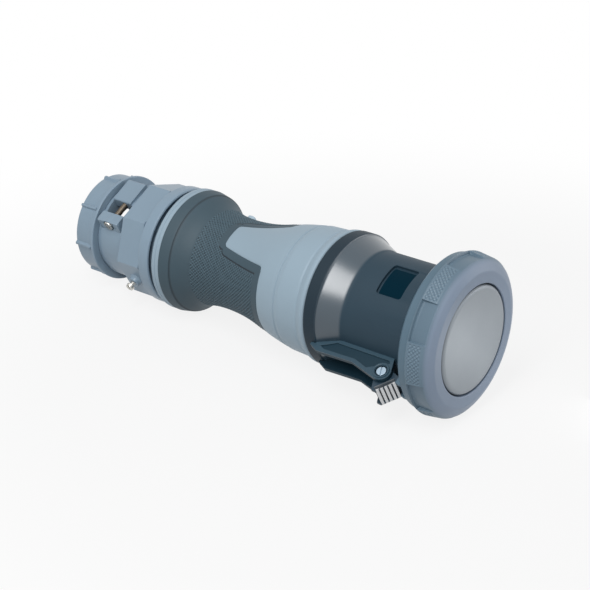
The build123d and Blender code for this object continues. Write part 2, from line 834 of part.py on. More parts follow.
# Clamp saddle: the strap that presses on the cable, with a flat tab at each end.
saddle_slack = 0.5
saddle_bow_half = 30.5
saddle_hollow = 0.7 * cable_r
pocket_middle = 16.0
pocket_end = 24.0
with BuildPart() as clamp_saddle:
    with BuildSketch(clamp_plane(clamp_rear + saddle_slack)):
        with BuildLine():
            Polyline(
                (-saddle_bow_half, saddle_reach),
                (-saddle_half, saddle_reach),
                (-saddle_half, saddle_reach - saddle_tab_t),
                (-saddle_half + 15, saddle_reach - saddle_tab_t),
                (-saddle_hollow, saddle_hollow + 0.9),
            )
            ThreePointArc(
                (-saddle_hollow, saddle_hollow + 0.9),
                (0, cable_r + 0.9),
                (saddle_hollow, saddle_hollow + 0.9),
            )
            Polyline(
                (saddle_hollow, saddle_hollow + 0.9),
                (saddle_half - 15, saddle_reach - saddle_tab_t),
                (saddle_half, saddle_reach - saddle_tab_t),
                (saddle_half, saddle_reach),
                (saddle_bow_half, saddle_reach),
            )
            ThreePointArc(
                (saddle_bow_half, saddle_reach),
                (0, saddle_crown_r),
                (-saddle_bow_half, saddle_reach),
            )
        make_face()
    extrude(amount=clamp_front - clamp_rear - 2 * saddle_slack)
    # Two pockets in the crown leave a rib between the outer wall and the cable rest
    pocket_length = clamp_front - clamp_rear - 2 * saddle_slack - 6
    for side in (-1, 1):
        with BuildSketch(clamp_plane(clamp_rear + saddle_slack + 3)):
            with BuildLine():
                Polyline(
                    (side * 1.5, cable_r + 4),
                    (side * 1.5, saddle_crown_r - 3.5),
                    (side * pocket_middle, saddle_crown_r - 7.5),
                    (side * pocket_end, saddle_reach + 0.6),
                    (side * pocket_middle, saddle_reach - 4),
                    close=True,
                )
            make_face()
        extrude(amount=pocket_length, mode=Mode.SUBTRACT)
    for side in (-1, 1):
        with BuildSketch(face_plane(hinge_angle, saddle_reach, clamp_screw_x, side * clamp_screw_offset)):
            Circle(clamp_screw_r + pin_gap)
        extrude(amount=-saddle_tab_t, mode=Mode.SUBTRACT)
save(clamp_saddle, "clamp_saddle")

# Clamp screws: pan heads on the saddle's tabs, threaded into the square nuts.
clamp_screw_tip = -9.5
for letter, side in (("a", -1), ("b", 1)):
    with BuildPart() as clamp_screw:
        with BuildSketch(face_plane(hinge_angle, clamp_screw_tip, clamp_screw_x, side * clamp_screw_offset)):
            Circle(clamp_screw_r)
        extrude(amount=saddle_reach - clamp_screw_tip)
        head = face_plane(hinge_angle, saddle_reach, clamp_screw_x, side * clamp_screw_offset)
        with BuildSketch(head):
            Circle(clamp_head_r)
        extrude(amount=clamp_head_t, taper=8)
        with BuildSketch(head.offset(clamp_head_t)):
            Rectangle(1.1, 3 * clamp_head_r, rotation=35)
        extrude(amount=-1.3, mode=Mode.SUBTRACT)
    save(clamp_screw, f"clamp_screw_{letter}")

# Gland seal: the rubber ring that closes on the cable.
with BuildPart() as gland_seal:
    with BuildSketch(Plane.XZ):
        with BuildLine():
            Polyline(
                (gland_seat, cable_r),
                (gland_seat, gland_r - 0.2),
                (gland_mouth + thrust_t, gland_r - 0.2),
                (gland_mouth + thrust_t, cable_r),
                close=True,
            )
        make_face()
    revolve(axis=Axis.X)
save(gland_seal, "gland_seal")

# Thrust ring: slides into the gland's mouth as the end nut turns.
with BuildPart() as thrust_ring:
    add(
        ring_solid(
            nut_floor,
            nut_floor + thrust_t,
            throat_r,
            gland_r - running_gap,
        )
    )
save(thrust_ring, "thrust_ring")

# End nut: ribbed for the hand, with a disc-like lip in front.
rib_width = 2.6
rib_top = 42.4
with BuildPart() as end_nut:
    with BuildSketch(Plane.XZ):
        with BuildLine():
            Polyline(
                (end_nut_front, thread_r + running_gap),
                (end_nut_front, end_nut_lip_r - 0.5),
                (end_nut_front - 0.5, end_nut_lip_r),
                (end_nut_front - 2.2, end_nut_lip_r),
                (end_nut_front - 2.8, end_nut_r),
                (end_nut_rear + 1.6, end_nut_r),
                (end_nut_rear, end_nut_r - 1.6),
                (end_nut_rear, nut_window_r + 1),
                (end_nut_rear + 1, nut_window_r),
                (nut_floor, nut_window_r),
                (nut_floor, thread_r + running_gap),
                close=True,
            )
        make_face()
    revolve(axis=Axis.X)
    for k in range(end_nut_rib_count):
        angle = 7.0 + k * 360 / end_nut_rib_count
        with BuildSketch(face_plane(angle, end_nut_r - 0.8)):
            with Locations(((end_nut_front + end_nut_rear - 1) / 2, 0)):
                Rectangle(end_nut_front - end_nut_rear - 2.6, rib_width)
        extrude(amount=rib_top - end_nut_r + 0.8, taper=6)
save(end_nut, "end_nut")

# Lid cap: disc behind the ring's front lip, seal groove and two curved walls that run
# back through the ring to the hoop.
finger_rear = ring_rear - 0.3 - hoop_length + 0.4
finger_out = ring_bore_r - running_gap
finger_in = finger_out - finger_wall
hook_t = 1.6
hook_step = 1.3
hoop_front = ring_rear - 0.3
hoop_rear = hoop_front - hoop_length
lug_margin = 1.5
wall_start = hinge_angle - 90 + lock_turn + lug_half_angle + lug_margin
wall_sweep = 180 - lock_turn - 2 * (lug_half_angle + lug_margin)
peg_circle_r = 27.0
peg_r = 1.8
peg_angles = (30.0, 150.0, 270.0)
with BuildPart() as lid_cap:
    with BuildSketch(Plane.XZ):
        with BuildLine():
            Polyline(
                (lid_back, 0),
                (lid_back, seal_bore_r - fit_gap),
                (seal_t, seal_bore_r - fit_gap),
                (seal_t, seal_r + fit_gap),
                (lid_back, seal_r + fit_gap),
                (lid_back, finger_out),
                (lid_back + lid_disc_t, finger_out),
                (lid_back + lid_disc_t, 0),
                close=True,
            )
        make_face()
    revolve(axis=Axis.X)
    for start in (wall_start, wall_start + 180):
        add(sector(start, wall_sweep, finger_rear, lid_back + 0.5, finger_in, finger_out))
        add(
            sector(
                start + 4,
                wall_sweep - 8,
                finger_rear,
                finger_rear + hook_t,
                finger_in,
                finger_out + hook_step,
            )
        )
    for angle in peg_angles:
        with BuildSketch(Plane(origin=radial(angle, peg_circle_r, lid_back), z_dir=(1, 0, 0))):
            Circle(peg_r + pin_gap)
        extrude(amount=lid_disc_t, mode=Mode.SUBTRACT)
save(lid_cap, "lid_cap")

# Lid plate: the bevelled front disc, held by three pegs.
plate_back = lid_back + lid_disc_t
plate_front = ring_front + 0.3
with BuildPart() as lid_plate:
    with BuildSketch(Plane.XZ):
        with BuildLine():
            Polyline(
                (plate_back, 0),
                (plate_back, plate_r),
                (plate_front - 1.6, plate_r),
                (plate_front - 0.5, plate_r - 0.9),
                (plate_front, plate_r - 2.6),
                (plate_front, 0),
                close=True,
            )
        make_face()
    revolve(axis=Axis.X)
    for angle in peg_angles:
        with BuildSketch(Plane(origin=radial(angle, peg_circle_r, plate_back), z_dir=(-1, 0, 0))):
            Circle(peg_r)
        extrude(amount=lid_disc_t - 0.2)
save(lid_plate, "lid_plate")

# Lid seal: flat rubber ring pressed on the collar's rim.
with BuildPart() as lid_seal:
    add(ring_solid(0.03, seal_t, seal_bore_r, seal_r))
save(lid_seal, "lid_seal")

# Hinge hoop: the band behind the bayonet ring, with two arms down to the pin and up
# to the thumb rest.
arm_in = ear_in - 0.4 - knuckle_wall
rest_top = (pin_x + 1.6, pin_height + 13.6)
rest_foot = (pin_x + 11.8, pin_height + 1.6)
with BuildPart() as hinge_hoop:
    with BuildSketch(Plane.XZ):
        with BuildLine():
            Polyline(
                (hoop_front, finger_out + 0.1),
                (hoop_front, hoop_r - 0.5),
                (hoop_front - 0.5, hoop_r),
                (hoop_rear + 1.5, hoop_r),
                (hoop_rear, hoop_r - 1.5),
                (hoop_rear, finger_out + hook_step + 0.2),
                (finger_rear + hook_t + 0.1, finger_out + hook_step + 0.2),
                (finger_rear + hook_t + 0.1, finger_out + 0.1),
                close=True,
            )
        make_face()
    revolve(axis=Axis.X)
    for side in (-1, 1):
        with BuildSketch(side_plane(hinge_angle, side * arm_in)):
            with BuildLine():
                Polyline(
                    (hoop_front - 1.5, finger_out + 1.8),
                    (hoop_front - 1.5, hoop_r - 0.8),
                    (hoop_rear - 1, hoop_r - 0.6),
                    (rest_foot[0] + 0.7, rest_foot[1] + 1.3),
                    (rest_top[0] + 1.0, rest_top[1] + 1.2),
                    (rest_top[0] - 2.2, rest_top[1] + 1.0),
                    (pin_x - knuckle_r + 0.2, pin_height + 1),
                    (pin_x, pin_height - knuckle_r + 0.1),
                    (hoop_rear - 0.5, finger_out + 1.8),
                    close=True,
                )
            make_face()
            with Locations((pin_x, pin_height)):
                Circle(knuckle_r)
                Circle(pin_r + pin_gap, mode=Mode.SUBTRACT)
        extrude(amount=side * knuckle_wall)
save(hinge_hoop, "hinge_hoop")

# Thumb rest: the ribbed bright pad between the arms.
pad_t = 3.0
pad_rib_count = 6
pad_rib_r = 1.15
run = (rest_foot[0] - rest_top[0], rest_foot[1] - rest_top[1])
run_length = sqrt(run[0] ** 2 + run[1] ** 2)
along = (run[0] / run_length, run[1] / run_length)
inward = (along[1], -along[0])
with BuildPart() as thumb_rest:
    with BuildSketch(side_plane(hinge_angle)):
        with BuildLine():
            Polyline(
                rest_top,
                rest_foot,
                (rest_foot[0] + pad_t * inward[0], rest_foot[1] + pad_t * inward[1]),
                (rest_top[0] + pad_t * inward[0], rest_top[1] + pad_t * inward[1]),
                close=True,
            )
        make_face()
        for k in range(pad_rib_count):
            step = (k + 0.5) * run_length / pad_rib_count
            with Locations((rest_top[0] + step * along[0], rest_top[1] + step * along[1])):
                Circle(pad_rib_r)
    extrude(amount=arm_in, both=True)
save(thumb_rest, "thumb_rest")

# Bayonet ring: six sunk flats between six raised grip fields, front lip over the lid's
# disc and two inner lugs.
lip_back = lid_back + lid_disc_t + 0.2
ring_lug_r = 45.3
ring_lug_gap = 0.4
with BuildPart() as bayonet_ring:
    with BuildSketch(Plane.XZ):
        with BuildLine():
            Polyline(
                (ring_rear, ring_bore_r),
                (ring_rear, ring_r - 0.6),
                (ring_rear + 0.6, ring_r),
                (ring_front - 5.5, ring_mid_r + 0.6),
            )
            ThreePointArc(
                (ring_front - 5.5, ring_mid_r + 0.6),
                (ring_front - 2.2, ring_mid_r - 3.2),
                (ring_front, ring_mid_r - 8.5),
            )
            Polyline(
                (ring_front, ring_mid_r - 8.5),
                (ring_front, ring_window_r + 0.6),
                (ring_front - 0.6, ring_window_r),
                (lip_back, ring_window_r),
                (lip_back, ring_bore_r),
                (ring_rear, ring_bore_r),
            )
        make_face()
    revolve(axis=Axis.X)
    for k in range(pocket_count):
        add(
            sector(
                k * 360 / pocket_count - pocket_half_angle,
                2 * pocket_half_angle,
                ring_rear + 0.9,
                ring_front + 1,
                ring_pocket_r,
                ring_r + 1,
            ),
            mode=Mode.SUBTRACT,
        )
    for start in (hinge_angle - 90, hinge_angle + 90):
        add(
            sector(
                start - lug_half_angle,
                2 * lug_half_angle,
                ring_rear + 0.2,
                housing_lug_rear - ring_lug_gap,
                ring_lug_r,
                ring_bore_r + 0.5,
            )
        )
save(bayonet_ring, "bayonet_ring")

# Hinge pin: slotted head in the near ear, clip groove at the far one.
pin_head_t = 1.3
clip_t = 0.8
clip_groove_r = 2.2
with BuildPart() as hinge_pin:
    with BuildSketch(side_plane(hinge_angle, head_recess_depth - ear_out)):
        with Locations((pin_x, pin_height)):
            Circle(pin_r)
    extrude(amount=2 * ear_out - head_recess_depth - 0.2)
    with BuildSketch(side_plane(hinge_angle, head_recess_depth - ear_out)):
        with Locations((pin_x, pin_height)):
            Circle(pin_head_r)
    extrude(amount=-pin_head_t)
    with BuildSketch(side_plane(hinge_angle, head_recess_depth - ear_out - pin_head_t)):
        with Locations((pin_x, pin_height)):
            Rectangle(0.9, 3 * pin_head_r, rotation=70)
    extrude(amount=0.7, mode=Mode.SUBTRACT)
    with BuildSketch(side_plane(hinge_angle, ear_out - head_recess_depth)):
        with Locations((pin_x, pin_height)):
            Circle(pin_r + 1)
            Circle(clip_groove_r, mode=Mode.SUBTRACT)
    extrude(amount=clip_t, mode=Mode.SUBTRACT)
save(hinge_pin, "hinge_pin")

# Pin clip: the snap ring in the pin's groove.
with BuildPart() as pin_clip:
    with BuildSketch(side_plane(hinge_angle, ear_out - head_recess_depth)):
        with Locations((pin_x, pin_height)):
            Circle(head_recess_r - 0.3)
            Circle(clip_groove_r + pin_gap, mode=Mode.SUBTRACT)
            with Locations((0, -head_recess_r)):
                Rectangle(2 * clip_groove_r - 0.8, 2 * head_recess_r, mode=Mode.SUBTRACT)
    extrude(amount=clip_t - 0.02)
save(pin_clip, "pin_clip")

# Lid spring: closing spring wound round the pin between the arms.
spring_pitch = 1.9
spring_length = spring_turns * spring_pitch
spring_r = pin_r + 0.7 + spring_wire_r
axis_point = radial(hinge_angle, pin_height, pin_x, -spring_length / 2)
with BuildPart() as lid_spring:
    with BuildLine() as spring_line:
        Helix(
            pitch=spring_pitch,
            height=spring_length,
            radius=spring_r,
            center=axis_point,
            direction=tuple(side_plane(hinge_angle).z_dir),
        )
    with BuildSketch(spring_line.line ^ 0):
        RegularPolygon(spring_wire_r, 8)
    sweep()
save(lid_spring, "lid_spring")
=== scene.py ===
"""Looks of a pin and sleeve cable connector, lid closed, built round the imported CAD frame."""
from math import cos, pi, radians, sin

import bmesh
import bpy
import numpy as np
from mathutils import Matrix, Vector


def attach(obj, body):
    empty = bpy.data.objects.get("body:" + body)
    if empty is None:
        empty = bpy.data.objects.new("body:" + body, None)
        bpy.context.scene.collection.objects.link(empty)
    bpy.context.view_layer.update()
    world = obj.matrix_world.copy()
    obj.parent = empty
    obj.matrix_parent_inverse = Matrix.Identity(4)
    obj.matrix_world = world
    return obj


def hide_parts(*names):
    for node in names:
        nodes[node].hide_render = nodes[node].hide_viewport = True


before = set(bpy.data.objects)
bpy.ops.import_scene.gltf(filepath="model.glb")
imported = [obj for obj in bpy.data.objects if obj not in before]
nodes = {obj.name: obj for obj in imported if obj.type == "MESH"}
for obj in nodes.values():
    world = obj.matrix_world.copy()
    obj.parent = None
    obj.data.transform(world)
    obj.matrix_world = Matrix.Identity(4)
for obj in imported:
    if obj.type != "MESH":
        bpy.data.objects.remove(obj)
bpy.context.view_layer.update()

# Camera: in front of the connector's lid, to its right and above it. Lens and place come
# from circles fitted to the round edges of ring, flange, rim and nut.
picture_width = 590
focal_pixels = 1600.0
right = Vector((0.7875, 0.6163, 0.0087))
back = Vector((0.5579, -0.7188, 0.4150)).normalized()
up = back.cross(right).normalized()
right = up.cross(back)
camera_data = bpy.data.cameras.new("camera")
camera_data.sensor_width = 36.0
camera_data.lens = camera_data.sensor_width * focal_pixels / picture_width
camera_data.clip_start = 0.05
camera_data.clip_end = 30.0
camera = bpy.data.objects.new("camera", camera_data)
camera.matrix_world = Matrix((
    (right.x, up.x, back.x, 0.5278),
    (right.y, up.y, back.y, -0.8742),
    (right.z, up.z, back.z, 0.4938),
    (0, 0, 0, 1),
))
bpy.context.scene.collection.objects.link(camera)
bpy.context.scene.camera = camera
bpy.context.scene.view_settings.view_transform = "Standard"

# Front housing: dark glass-filled nylon, moulded in one with its collar, cone, flange and
# hinge ears. Cylinder and flange have a fine spark-eroded grain, the cone is polished.
mm = 0.001


class Wire:
    """One output of a shader node. Python's operators on it stand for Math nodes."""

    def __init__(self, tree, socket):
        self.tree = tree
        self.socket = socket

    def node(self, kind, settings, sockets, out=0):
        """A new node: its settings are made first, then its sockets take values or wires."""
        made = self.tree.nodes.new(kind)
        for key, value in settings.items():
            setattr(made, key, value)
        for key, value in sockets.items():
            if isinstance(value, Wire):
                self.tree.links.new(value.socket, made.inputs[key])
            else:
                made.inputs[key].default_value = value
        return Wire(self.tree, made.outputs[out])

    def math(self, operation, *values):
        """A Math node over these values or wires, in this order."""
        return self.node("ShaderNodeMath", {"operation": operation}, dict(enumerate(values)))

    def __add__(self, other):
        return self.math("ADD", self, other)

    def __radd__(self, other):
        return self.math("ADD", other, self)

    def __sub__(self, other):
        return self.math("SUBTRACT", self, other)

    def __rsub__(self, other):
        return self.math("SUBTRACT", other, self)

    def __mul__(self, other):
        return self.math("MULTIPLY", self, other)

    def __rmul__(self, other):
        return self.math("MULTIPLY", other, self)

    def feed(self, shader, socket):
        """The wire plugged into a socket of the shader."""
        self.tree.links.new(self.socket, shader.inputs[socket])


def noise(place, scale, detail=2.0):
    """Noise from 0 to 1, with this many lumps in a metre."""
    return place.node("ShaderNodeTexNoise", {}, {"Vector": place, "Scale": scale, "Detail": detail})


def fade(value, low, high):
    """0 below low, 1 above high, and a smooth step between them."""
    return value.node(
        "ShaderNodeMapRange",
        {"interpolation_type": "SMOOTHSTEP"},
        {"Value": value, "From Min": low, "From Max": high},
    )


def coordinate(place, axis):
    """The x, y or z of a place, for axis 0, 1 or 2."""
    return place.node("ShaderNodeSeparateXYZ", {}, {"Vector": place}, axis)


def blend_colour(factor, first, second):
    """The first colour where the factor is 0, the second where it is 1."""
    return factor.node("ShaderNodeMix", {"data_type": "RGBA"}, {0: factor, 6: first, 7: second}, 2)


def paint(red, green, blue, gain=1.0):
    """A colour as it shows on a screen, from 0 to 255, in the linear values of a shader."""
    shown = np.array([red, green, blue]) / 255
    linear = np.where(shown <= 0.04045, shown / 12.92, ((shown + 0.055) / 1.055) ** 2.4)
    return (*np.clip(linear * gain, 0, 1), 1.0)


def new_finish(name):
    """A material, its shader, and the wire of a point's place on the piece in metres."""
    material = bpy.data.materials.new(name)
    material.use_nodes = True
    tree = material.node_tree
    place = tree.nodes.new("ShaderNodeTexCoord")
    return material, tree.nodes["Principled BSDF"], Wire(tree, place.outputs["Object"])


def roughen(shader, heights, strength, depth):
    """A Bump node on the shader's Normal: the heights from 0 to 1 stand for this depth in mm."""
    heights.node(
        "ShaderNodeBump", {}, {"Strength": strength, "Distance": depth * mm, "Height": heights}
    ).feed(shader, "Normal")


def moulded(name, colour, roughness, grain=1100.0, depth=0.03, drift=0.07, gloss=0.5):
    """Moulded plastic: its colour drifts a little, and a fine grain roughens its gloss."""
    material, shader, place = new_finish(name)
    cloud = noise(place, 22.0, 3.0)
    lumps = noise(place, grain, 2.0)
    blend_colour(
        cloud * 0.75 + lumps * 0.25, paint(*colour, 1 - drift), paint(*colour, 1 + drift)
    ).feed(shader, "Base Color")
    (roughness - 0.08 + cloud * 0.1 + lumps * 0.06).feed(shader, "Roughness")
    roughen(shader, lumps, 0.35, depth)
    shader.inputs["Specular IOR Level"].default_value = gloss
    return material


def clad(piece, material):
    """The material on every slot of the piece."""
    piece.data.materials.clear()
    piece.data.materials.append(material)


def eased(node, width, material, body, turn=32.0, joined=None, shape=None):
    """A copy of a CAD node, its triangles joined and its edges rounded, in the node's place.

    A second node may be joined to it: where the two meet face to face, the faces go. A
    shape is a function that moves the copy's points, in mm, before the edges are rounded."""
    mesh = nodes[node].data.copy()
    mesh.name = f"{node}_eased"
    if "custom_normal" in mesh.attributes:
        mesh.attributes.remove(mesh.attributes["custom_normal"])
    work = bmesh.new()
    work.from_mesh(mesh)
    if joined:
        work.from_mesh(nodes[joined].data)
    bmesh.ops.remove_doubles(work, verts=work.verts, dist=0.002 * mm)
    if joined:
        seen = {}
        for face in work.faces:
            seen.setdefault(frozenset(v.index for v in face.verts), []).append(face)
        doubled = [face for faces in seen.values() if len(faces) > 1 for face in faces]
        bmesh.ops.delete(work, geom=doubled, context="FACES")
    if shape:
        points = np.array([v.co for v in work.verts]) / mm
        for vert, point in zip(work.verts, shape(points) * mm):
            vert.co = point
    bmesh.ops.dissolve_limit(work, angle_limit=radians(0.4), verts=work.verts, edges=work.edges)
    work.to_mesh(mesh)
    work.free()
    mesh.polygons.foreach_set("use_smooth", np.ones(len(mesh.polygons), bool))
    mesh.set_sharp_from_angle(angle=radians(turn))
    piece = bpy.data.objects.new(f"{node}_eased", mesh)
    bpy.context.scene.collection.objects.link(piece)
    bevel = piece.modifiers.new("eased edges", "BEVEL")
    bevel.width = width * mm
    bevel.segments = 2
    bevel.limit_method = "ANGLE"
    bevel.angle_limit = radians(turn)
    bevel.harden_normals = True
    clad(piece, material)
    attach(piece, body)
    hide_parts(node)
    if joined:
        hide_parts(joined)
    return piece


def rooted(points):
    """The feet of a hinge ear go into the housing, so that no seam shows: a point that lies
    on the housing's surface, within the gap, moves towards the axis by the root's depth."""
    radius = np.hypot(points[:, 1], points[:, 2])
    surface = np.interp(points[:, 0], foot_line[:, 0], foot_line[:, 1])
    is_foot = np.abs(radius - surface) < foot_gap
    scale = np.where(is_foot, (radius - root_depth) / radius, 1.0)
    return points * np.stack([np.ones(len(points)), scale, scale], 1)


# The housing's outside as (x, radius), where the ears stand on it.
foot_line = np.array([(-105, 52.02), (-93.8, 52.02), (-93, 50.92), (-75, 43.32), (1, 43.32)])
foot_gap = 0.06
root_depth = 0.8
# Where the polished cone begins and ends, in metres along the axis.
cone_front = -0.0755
cone_rear = -0.0925
housing_finish, shader, place = new_finish("dark_housing")
cloud = noise(place, 26.0, 3.0)
grains = noise(place, 1500.0, 2.0)
along = coordinate(place, 0)
polished = (1 - fade(along, cone_front - 0.0025, cone_front)) * fade(along, cone_rear - 0.001, cone_rear)
base_colour = blend_colour(cloud, paint(26, 48, 62), paint(34, 58, 72))
# Painted shade: the flange is painted darker than the rest of the same moulding.
flange_painted_shade = 1 - fade(along, cone_rear - 0.0012, cone_rear)
blend_colour(flange_painted_shade, base_colour, paint(6, 32, 45)).feed(shader, "Base Color")
(0.5 - polished * 0.24 + cloud * 0.06 + grains * (1 - polished) * 0.1).feed(shader, "Roughness")
(polished * 0.95).feed(shader, "Coat Weight")
roughen(shader, grains * (1 - polished), 0.4, 0.03)
shader.inputs["Specular IOR Level"].default_value = 0.35
shader.inputs["Coat Roughness"].default_value = 0.3
shader.inputs["Coat IOR"].default_value = 1.72
housing = eased("front_housing", 0.35, housing_finish, "housing", joined="housing_chamber")

# Hinge ears: two webs of the same moulding, each with a rim round it. The rims' faces, away
# from the hinge's middle plane, carry a painted highlight, and the webs between them a painted shade.
rim_face = 0.01165
ear_finish, shader, place = new_finish("ears_painted_light_and_shade")
across = coordinate(place, 1) * 0.5 - coordinate(place, 2) * 0.866
across = across.math("ABSOLUTE", across)
grains = noise(place, 1500.0, 2.0)
# Painted highlight and shade: the rims' faces are painted lighter, and the webs darker than the housing.
rim = fade(across, rim_face, rim_face + 0.00045)
blend_colour(rim, paint(12, 44, 58), paint(52, 76, 90)).feed(shader, "Base Color")
(0.5 - rim * 0.18 + grains * 0.08).feed(shader, "Roughness")
shader.inputs["Specular IOR Level"].default_value = 0.3
for letter in ("a", "b"):
    eased(f"hinge_ear_{letter}", 0.35, ear_finish, "housing", shape=rooted)

# Window insert: a thin blank of darker plastic with a matt face, pressed into the sunk
# field on the housing's side.
insert_finish = moulded("dark_insert", (2, 35, 49), 0.5, 700.0, 0.02, gloss=0.03)
eased("window_insert", 0.2, insert_finish, "housing")

# Contacts: a block of grey moulded plastic carries turned brass sockets. Each is held by a
# slotted terminal screw, and the block by three screws.
block_finish = moulded("contact_block", (96, 104, 110), 0.5, 900.0, 0.04)
for name in ("contact_barrel", "contact_face", "contact_carrier"):
    clad(nodes[name], block_finish)


def turned_metal(name, colour, roughness):
    """Turned metal: a slow stain in its colour, and fine scratches, on a metal shader."""
    material, shader, place = new_finish(name)
    stain = noise(place, 160.0, 3.0)
    scratches = noise(place, 2600.0, 2.0)
    blend_colour(stain, paint(*colour, 0.82), paint(*colour, 1.08)).feed(shader, "Base Color")
    (roughness + stain * 0.12 + scratches * 0.08).feed(shader, "Roughness")
    roughen(shader, scratches, 0.25, 0.02)
    shader.inputs["Metallic"].default_value = 1.0
    return material


brass_finish = turned_metal("brass", (214, 186, 128), 0.24)
steel_finish = turned_metal("bright_steel", (206, 204, 198), 0.18)
for name in ("l1", "l2", "l3", "neutral", "earth", "pilot"):
    clad(nodes[f"contact_{name}"], brass_finish)
for name in ("terminal_screws", "insert_screws", "clamp_nuts"):
    clad(nodes[name], steel_finish)

# Housing base: the rear of the same moulding. The polished cone runs out into the flange,
# whose socket takes the handle, and the keyway's ridge dies out on the cone.


def skin(name, points, closed=True, keep=None, turn=30.0, poles=False, relief=None):
    """A mesh over a grid of points in mm: each cell of four neighbours is one face.

    The columns always close on themselves, and closed says whether the rows do. Poles are
    rows that shrink to a point. Keep says which cells stay, and relief gives each point a
    value that a material can read. The faces are turned so that the volume they enclose is
    positive."""
    rows, columns = points.shape[:2]
    i = np.arange(rows if closed else rows - 1)[:, None]
    j = np.arange(columns)[None, :]
    i_next = (i + 1) % rows
    j_next = (j + 1) % columns
    corners = (i * columns + j, i * columns + j_next, i_next * columns + j_next, i_next * columns + j)
    cells = np.stack(np.broadcast_arrays(*corners), -1)
    cells = (cells if keep is None else cells[keep[: len(i)]]).reshape(-1, 4)
    flat = points.reshape(-1, 3)
    a, b, c, d = (flat[cells[:, k]] for k in range(4))
    volume = np.sum(a * np.cross(b, c)) + np.sum(a * np.cross(c, d))
    cells = cells[:, ::-1] if volume < 0 else cells
    mesh = bpy.data.meshes.new(name)
    mesh.vertices.add(len(flat))
    mesh.vertices.foreach_set("co", (flat * mm).astype(np.float32).ravel())
    mesh.loops.add(cells.size)
    mesh.loops.foreach_set("vertex_index", cells.astype(np.int32).ravel())
    mesh.polygons.add(len(cells))
    mesh.polygons.foreach_set("loop_start", np.arange(0, cells.size, 4, dtype=np.int32))
    mesh.polygons.foreach_set("use_smooth", np.ones(len(cells), bool))
    mesh.update(calc_edges=True)
    if relief is not None:
        values = np.broadcast_to(relief, (rows, columns)).astype(np.float32)
        mesh.attributes.new("relief", "FLOAT", "POINT").data.foreach_set("value", values.ravel())
    if poles or keep is not None:
        work = bmesh.new()
        work.from_mesh(mesh)
        bmesh.ops.remove_doubles(work, verts=work.verts, dist=0.0005 * mm)
        bmesh.ops.delete(work, geom=[v for v in work.verts if not v.link_faces], context="VERTS")
        work.to_mesh(mesh)
        work.free()
    mesh.validate()
    mesh.set_sharp_from_angle(angle=radians(turn))
    piece = bpy.data.objects.new(name, mesh)
    bpy.context.scene.collection.objects.link(piece)
    return piece


def round_axis(x, radius, angle):
    """Points in mm: angle is counted round the axis from +Z towards -Y."""
    x, radius, angle = np.broadcast_arrays(x, radius, angle)
    return np.stack([x, -radius * np.sin(angle), radius * np.cos(angle)], -1)


def eased_profile(corners, steps=5):
    """A closed profile of (x, r) whose corners are rounded: each corner (x, r, ease) becomes
    the quadratic curve from ease before it to ease after it, drawn towards the corner."""
    corners = np.array(corners, float)
    point = corners[:, :2]
    ease = corners[:, 2:]
    before = np.roll(point, 1, 0) - point
    after = np.roll(point, -1, 0) - point
    start = point + ease * before / np.linalg.norm(before, axis=1, keepdims=True)
    end = point + ease * after / np.linalg.norm(after, axis=1, keepdims=True)
    t = np.linspace(0, 1, steps)[None, :, None]
    curve = (1 - t) ** 2 * start[:, None] + 2 * t * (1 - t) * point[:, None] + t**2 * end[:, None]
    curve = curve.reshape(-1, 2)
    return curve[np.linalg.norm(curve - np.roll(curve, 1, 0), axis=1) > 1e-4]


def closer(profile, spacing):
    """The same closed profile with no run longer than the spacing."""
    following = np.roll(profile, -1, 0)
    counts = np.ceil(np.linalg.norm(following - profile, axis=1) / spacing).astype(int)
    runs = [a + (b - a) * np.arange(n)[:, None] / n for a, b, n in zip(profile, following, counts)]
    return np.concatenate(runs)


def smoothstep(value, low, high):
    """0 below low, 1 above high, and 3t^2 - 2t^3 between them."""
    t = np.clip((value - low) / (high - low), 0, 1)
    return t * t * (3 - 2 * t)


base_profile = closer(eased_profile([
    (-74.3, 40.9, 0.0), (-74.3, 43.32, 0.05), (-76.0, 43.5, 1.2), (-92.6, 50.8, 0.5),
    (-93.2, 52.0, 0.4), (-102.8, 52.0, 0.7), (-104.0, 50.8, 0.6), (-104.0, 46.0, 0.3),
    (-92.0, 46.0, 0.1), (-92.0, 40.9, 0.0),
]), 0.8)
x, profile_r = base_profile[:, :1], base_profile[:, 1:]
base_turns = np.linspace(0, 2 * pi, 300, endpoint=False)[None, :]
hinge_angle = 120.0
key_angle = hinge_angle + 180.0
key_half = 5.6
from_key = np.abs(np.mod(base_turns - radians(key_angle) + pi, 2 * pi) - pi) * 45.0
ridge_r = np.interp(-x, [75.0, 83.0], [46.0, 42.3])
on_ridge = (1 - smoothstep(from_key, key_half, key_half + 1)) * (profile_r > 43.2) * (x > -84)
radius = profile_r + np.maximum(ridge_r - profile_r, 0) * on_ridge
housing_base = skin("housing_base_skin", round_axis(x, radius, base_turns), turn=40.0)
clad(housing_base, housing_finish)
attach(housing_base, "housing")
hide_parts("housing_base")

# Handle shell: light grey-blue nylon. Smooth front ring with a groove, two smooth panels
# that run back into the grip, and behind it a rim and the spigot that the nut hides.
panel_angle = 28.0
panel_rear = -199.0
panel_front = -153.0
panel_rear_half = 10.6
panel_front_half = 20.5
panel_taper = 43.0
panel_corner = 3.0
# The neck's outline as (x, radius), turned so that x rises.
neck = np.array([
    (-132.0, 48.3), (-151.0, 44.6), (-173.0, 38.9), (-196.0, 36.0),
    (-215.0, 36.6), (-230.0, 41.5), (-237.5, 47.2),
])[::-1]


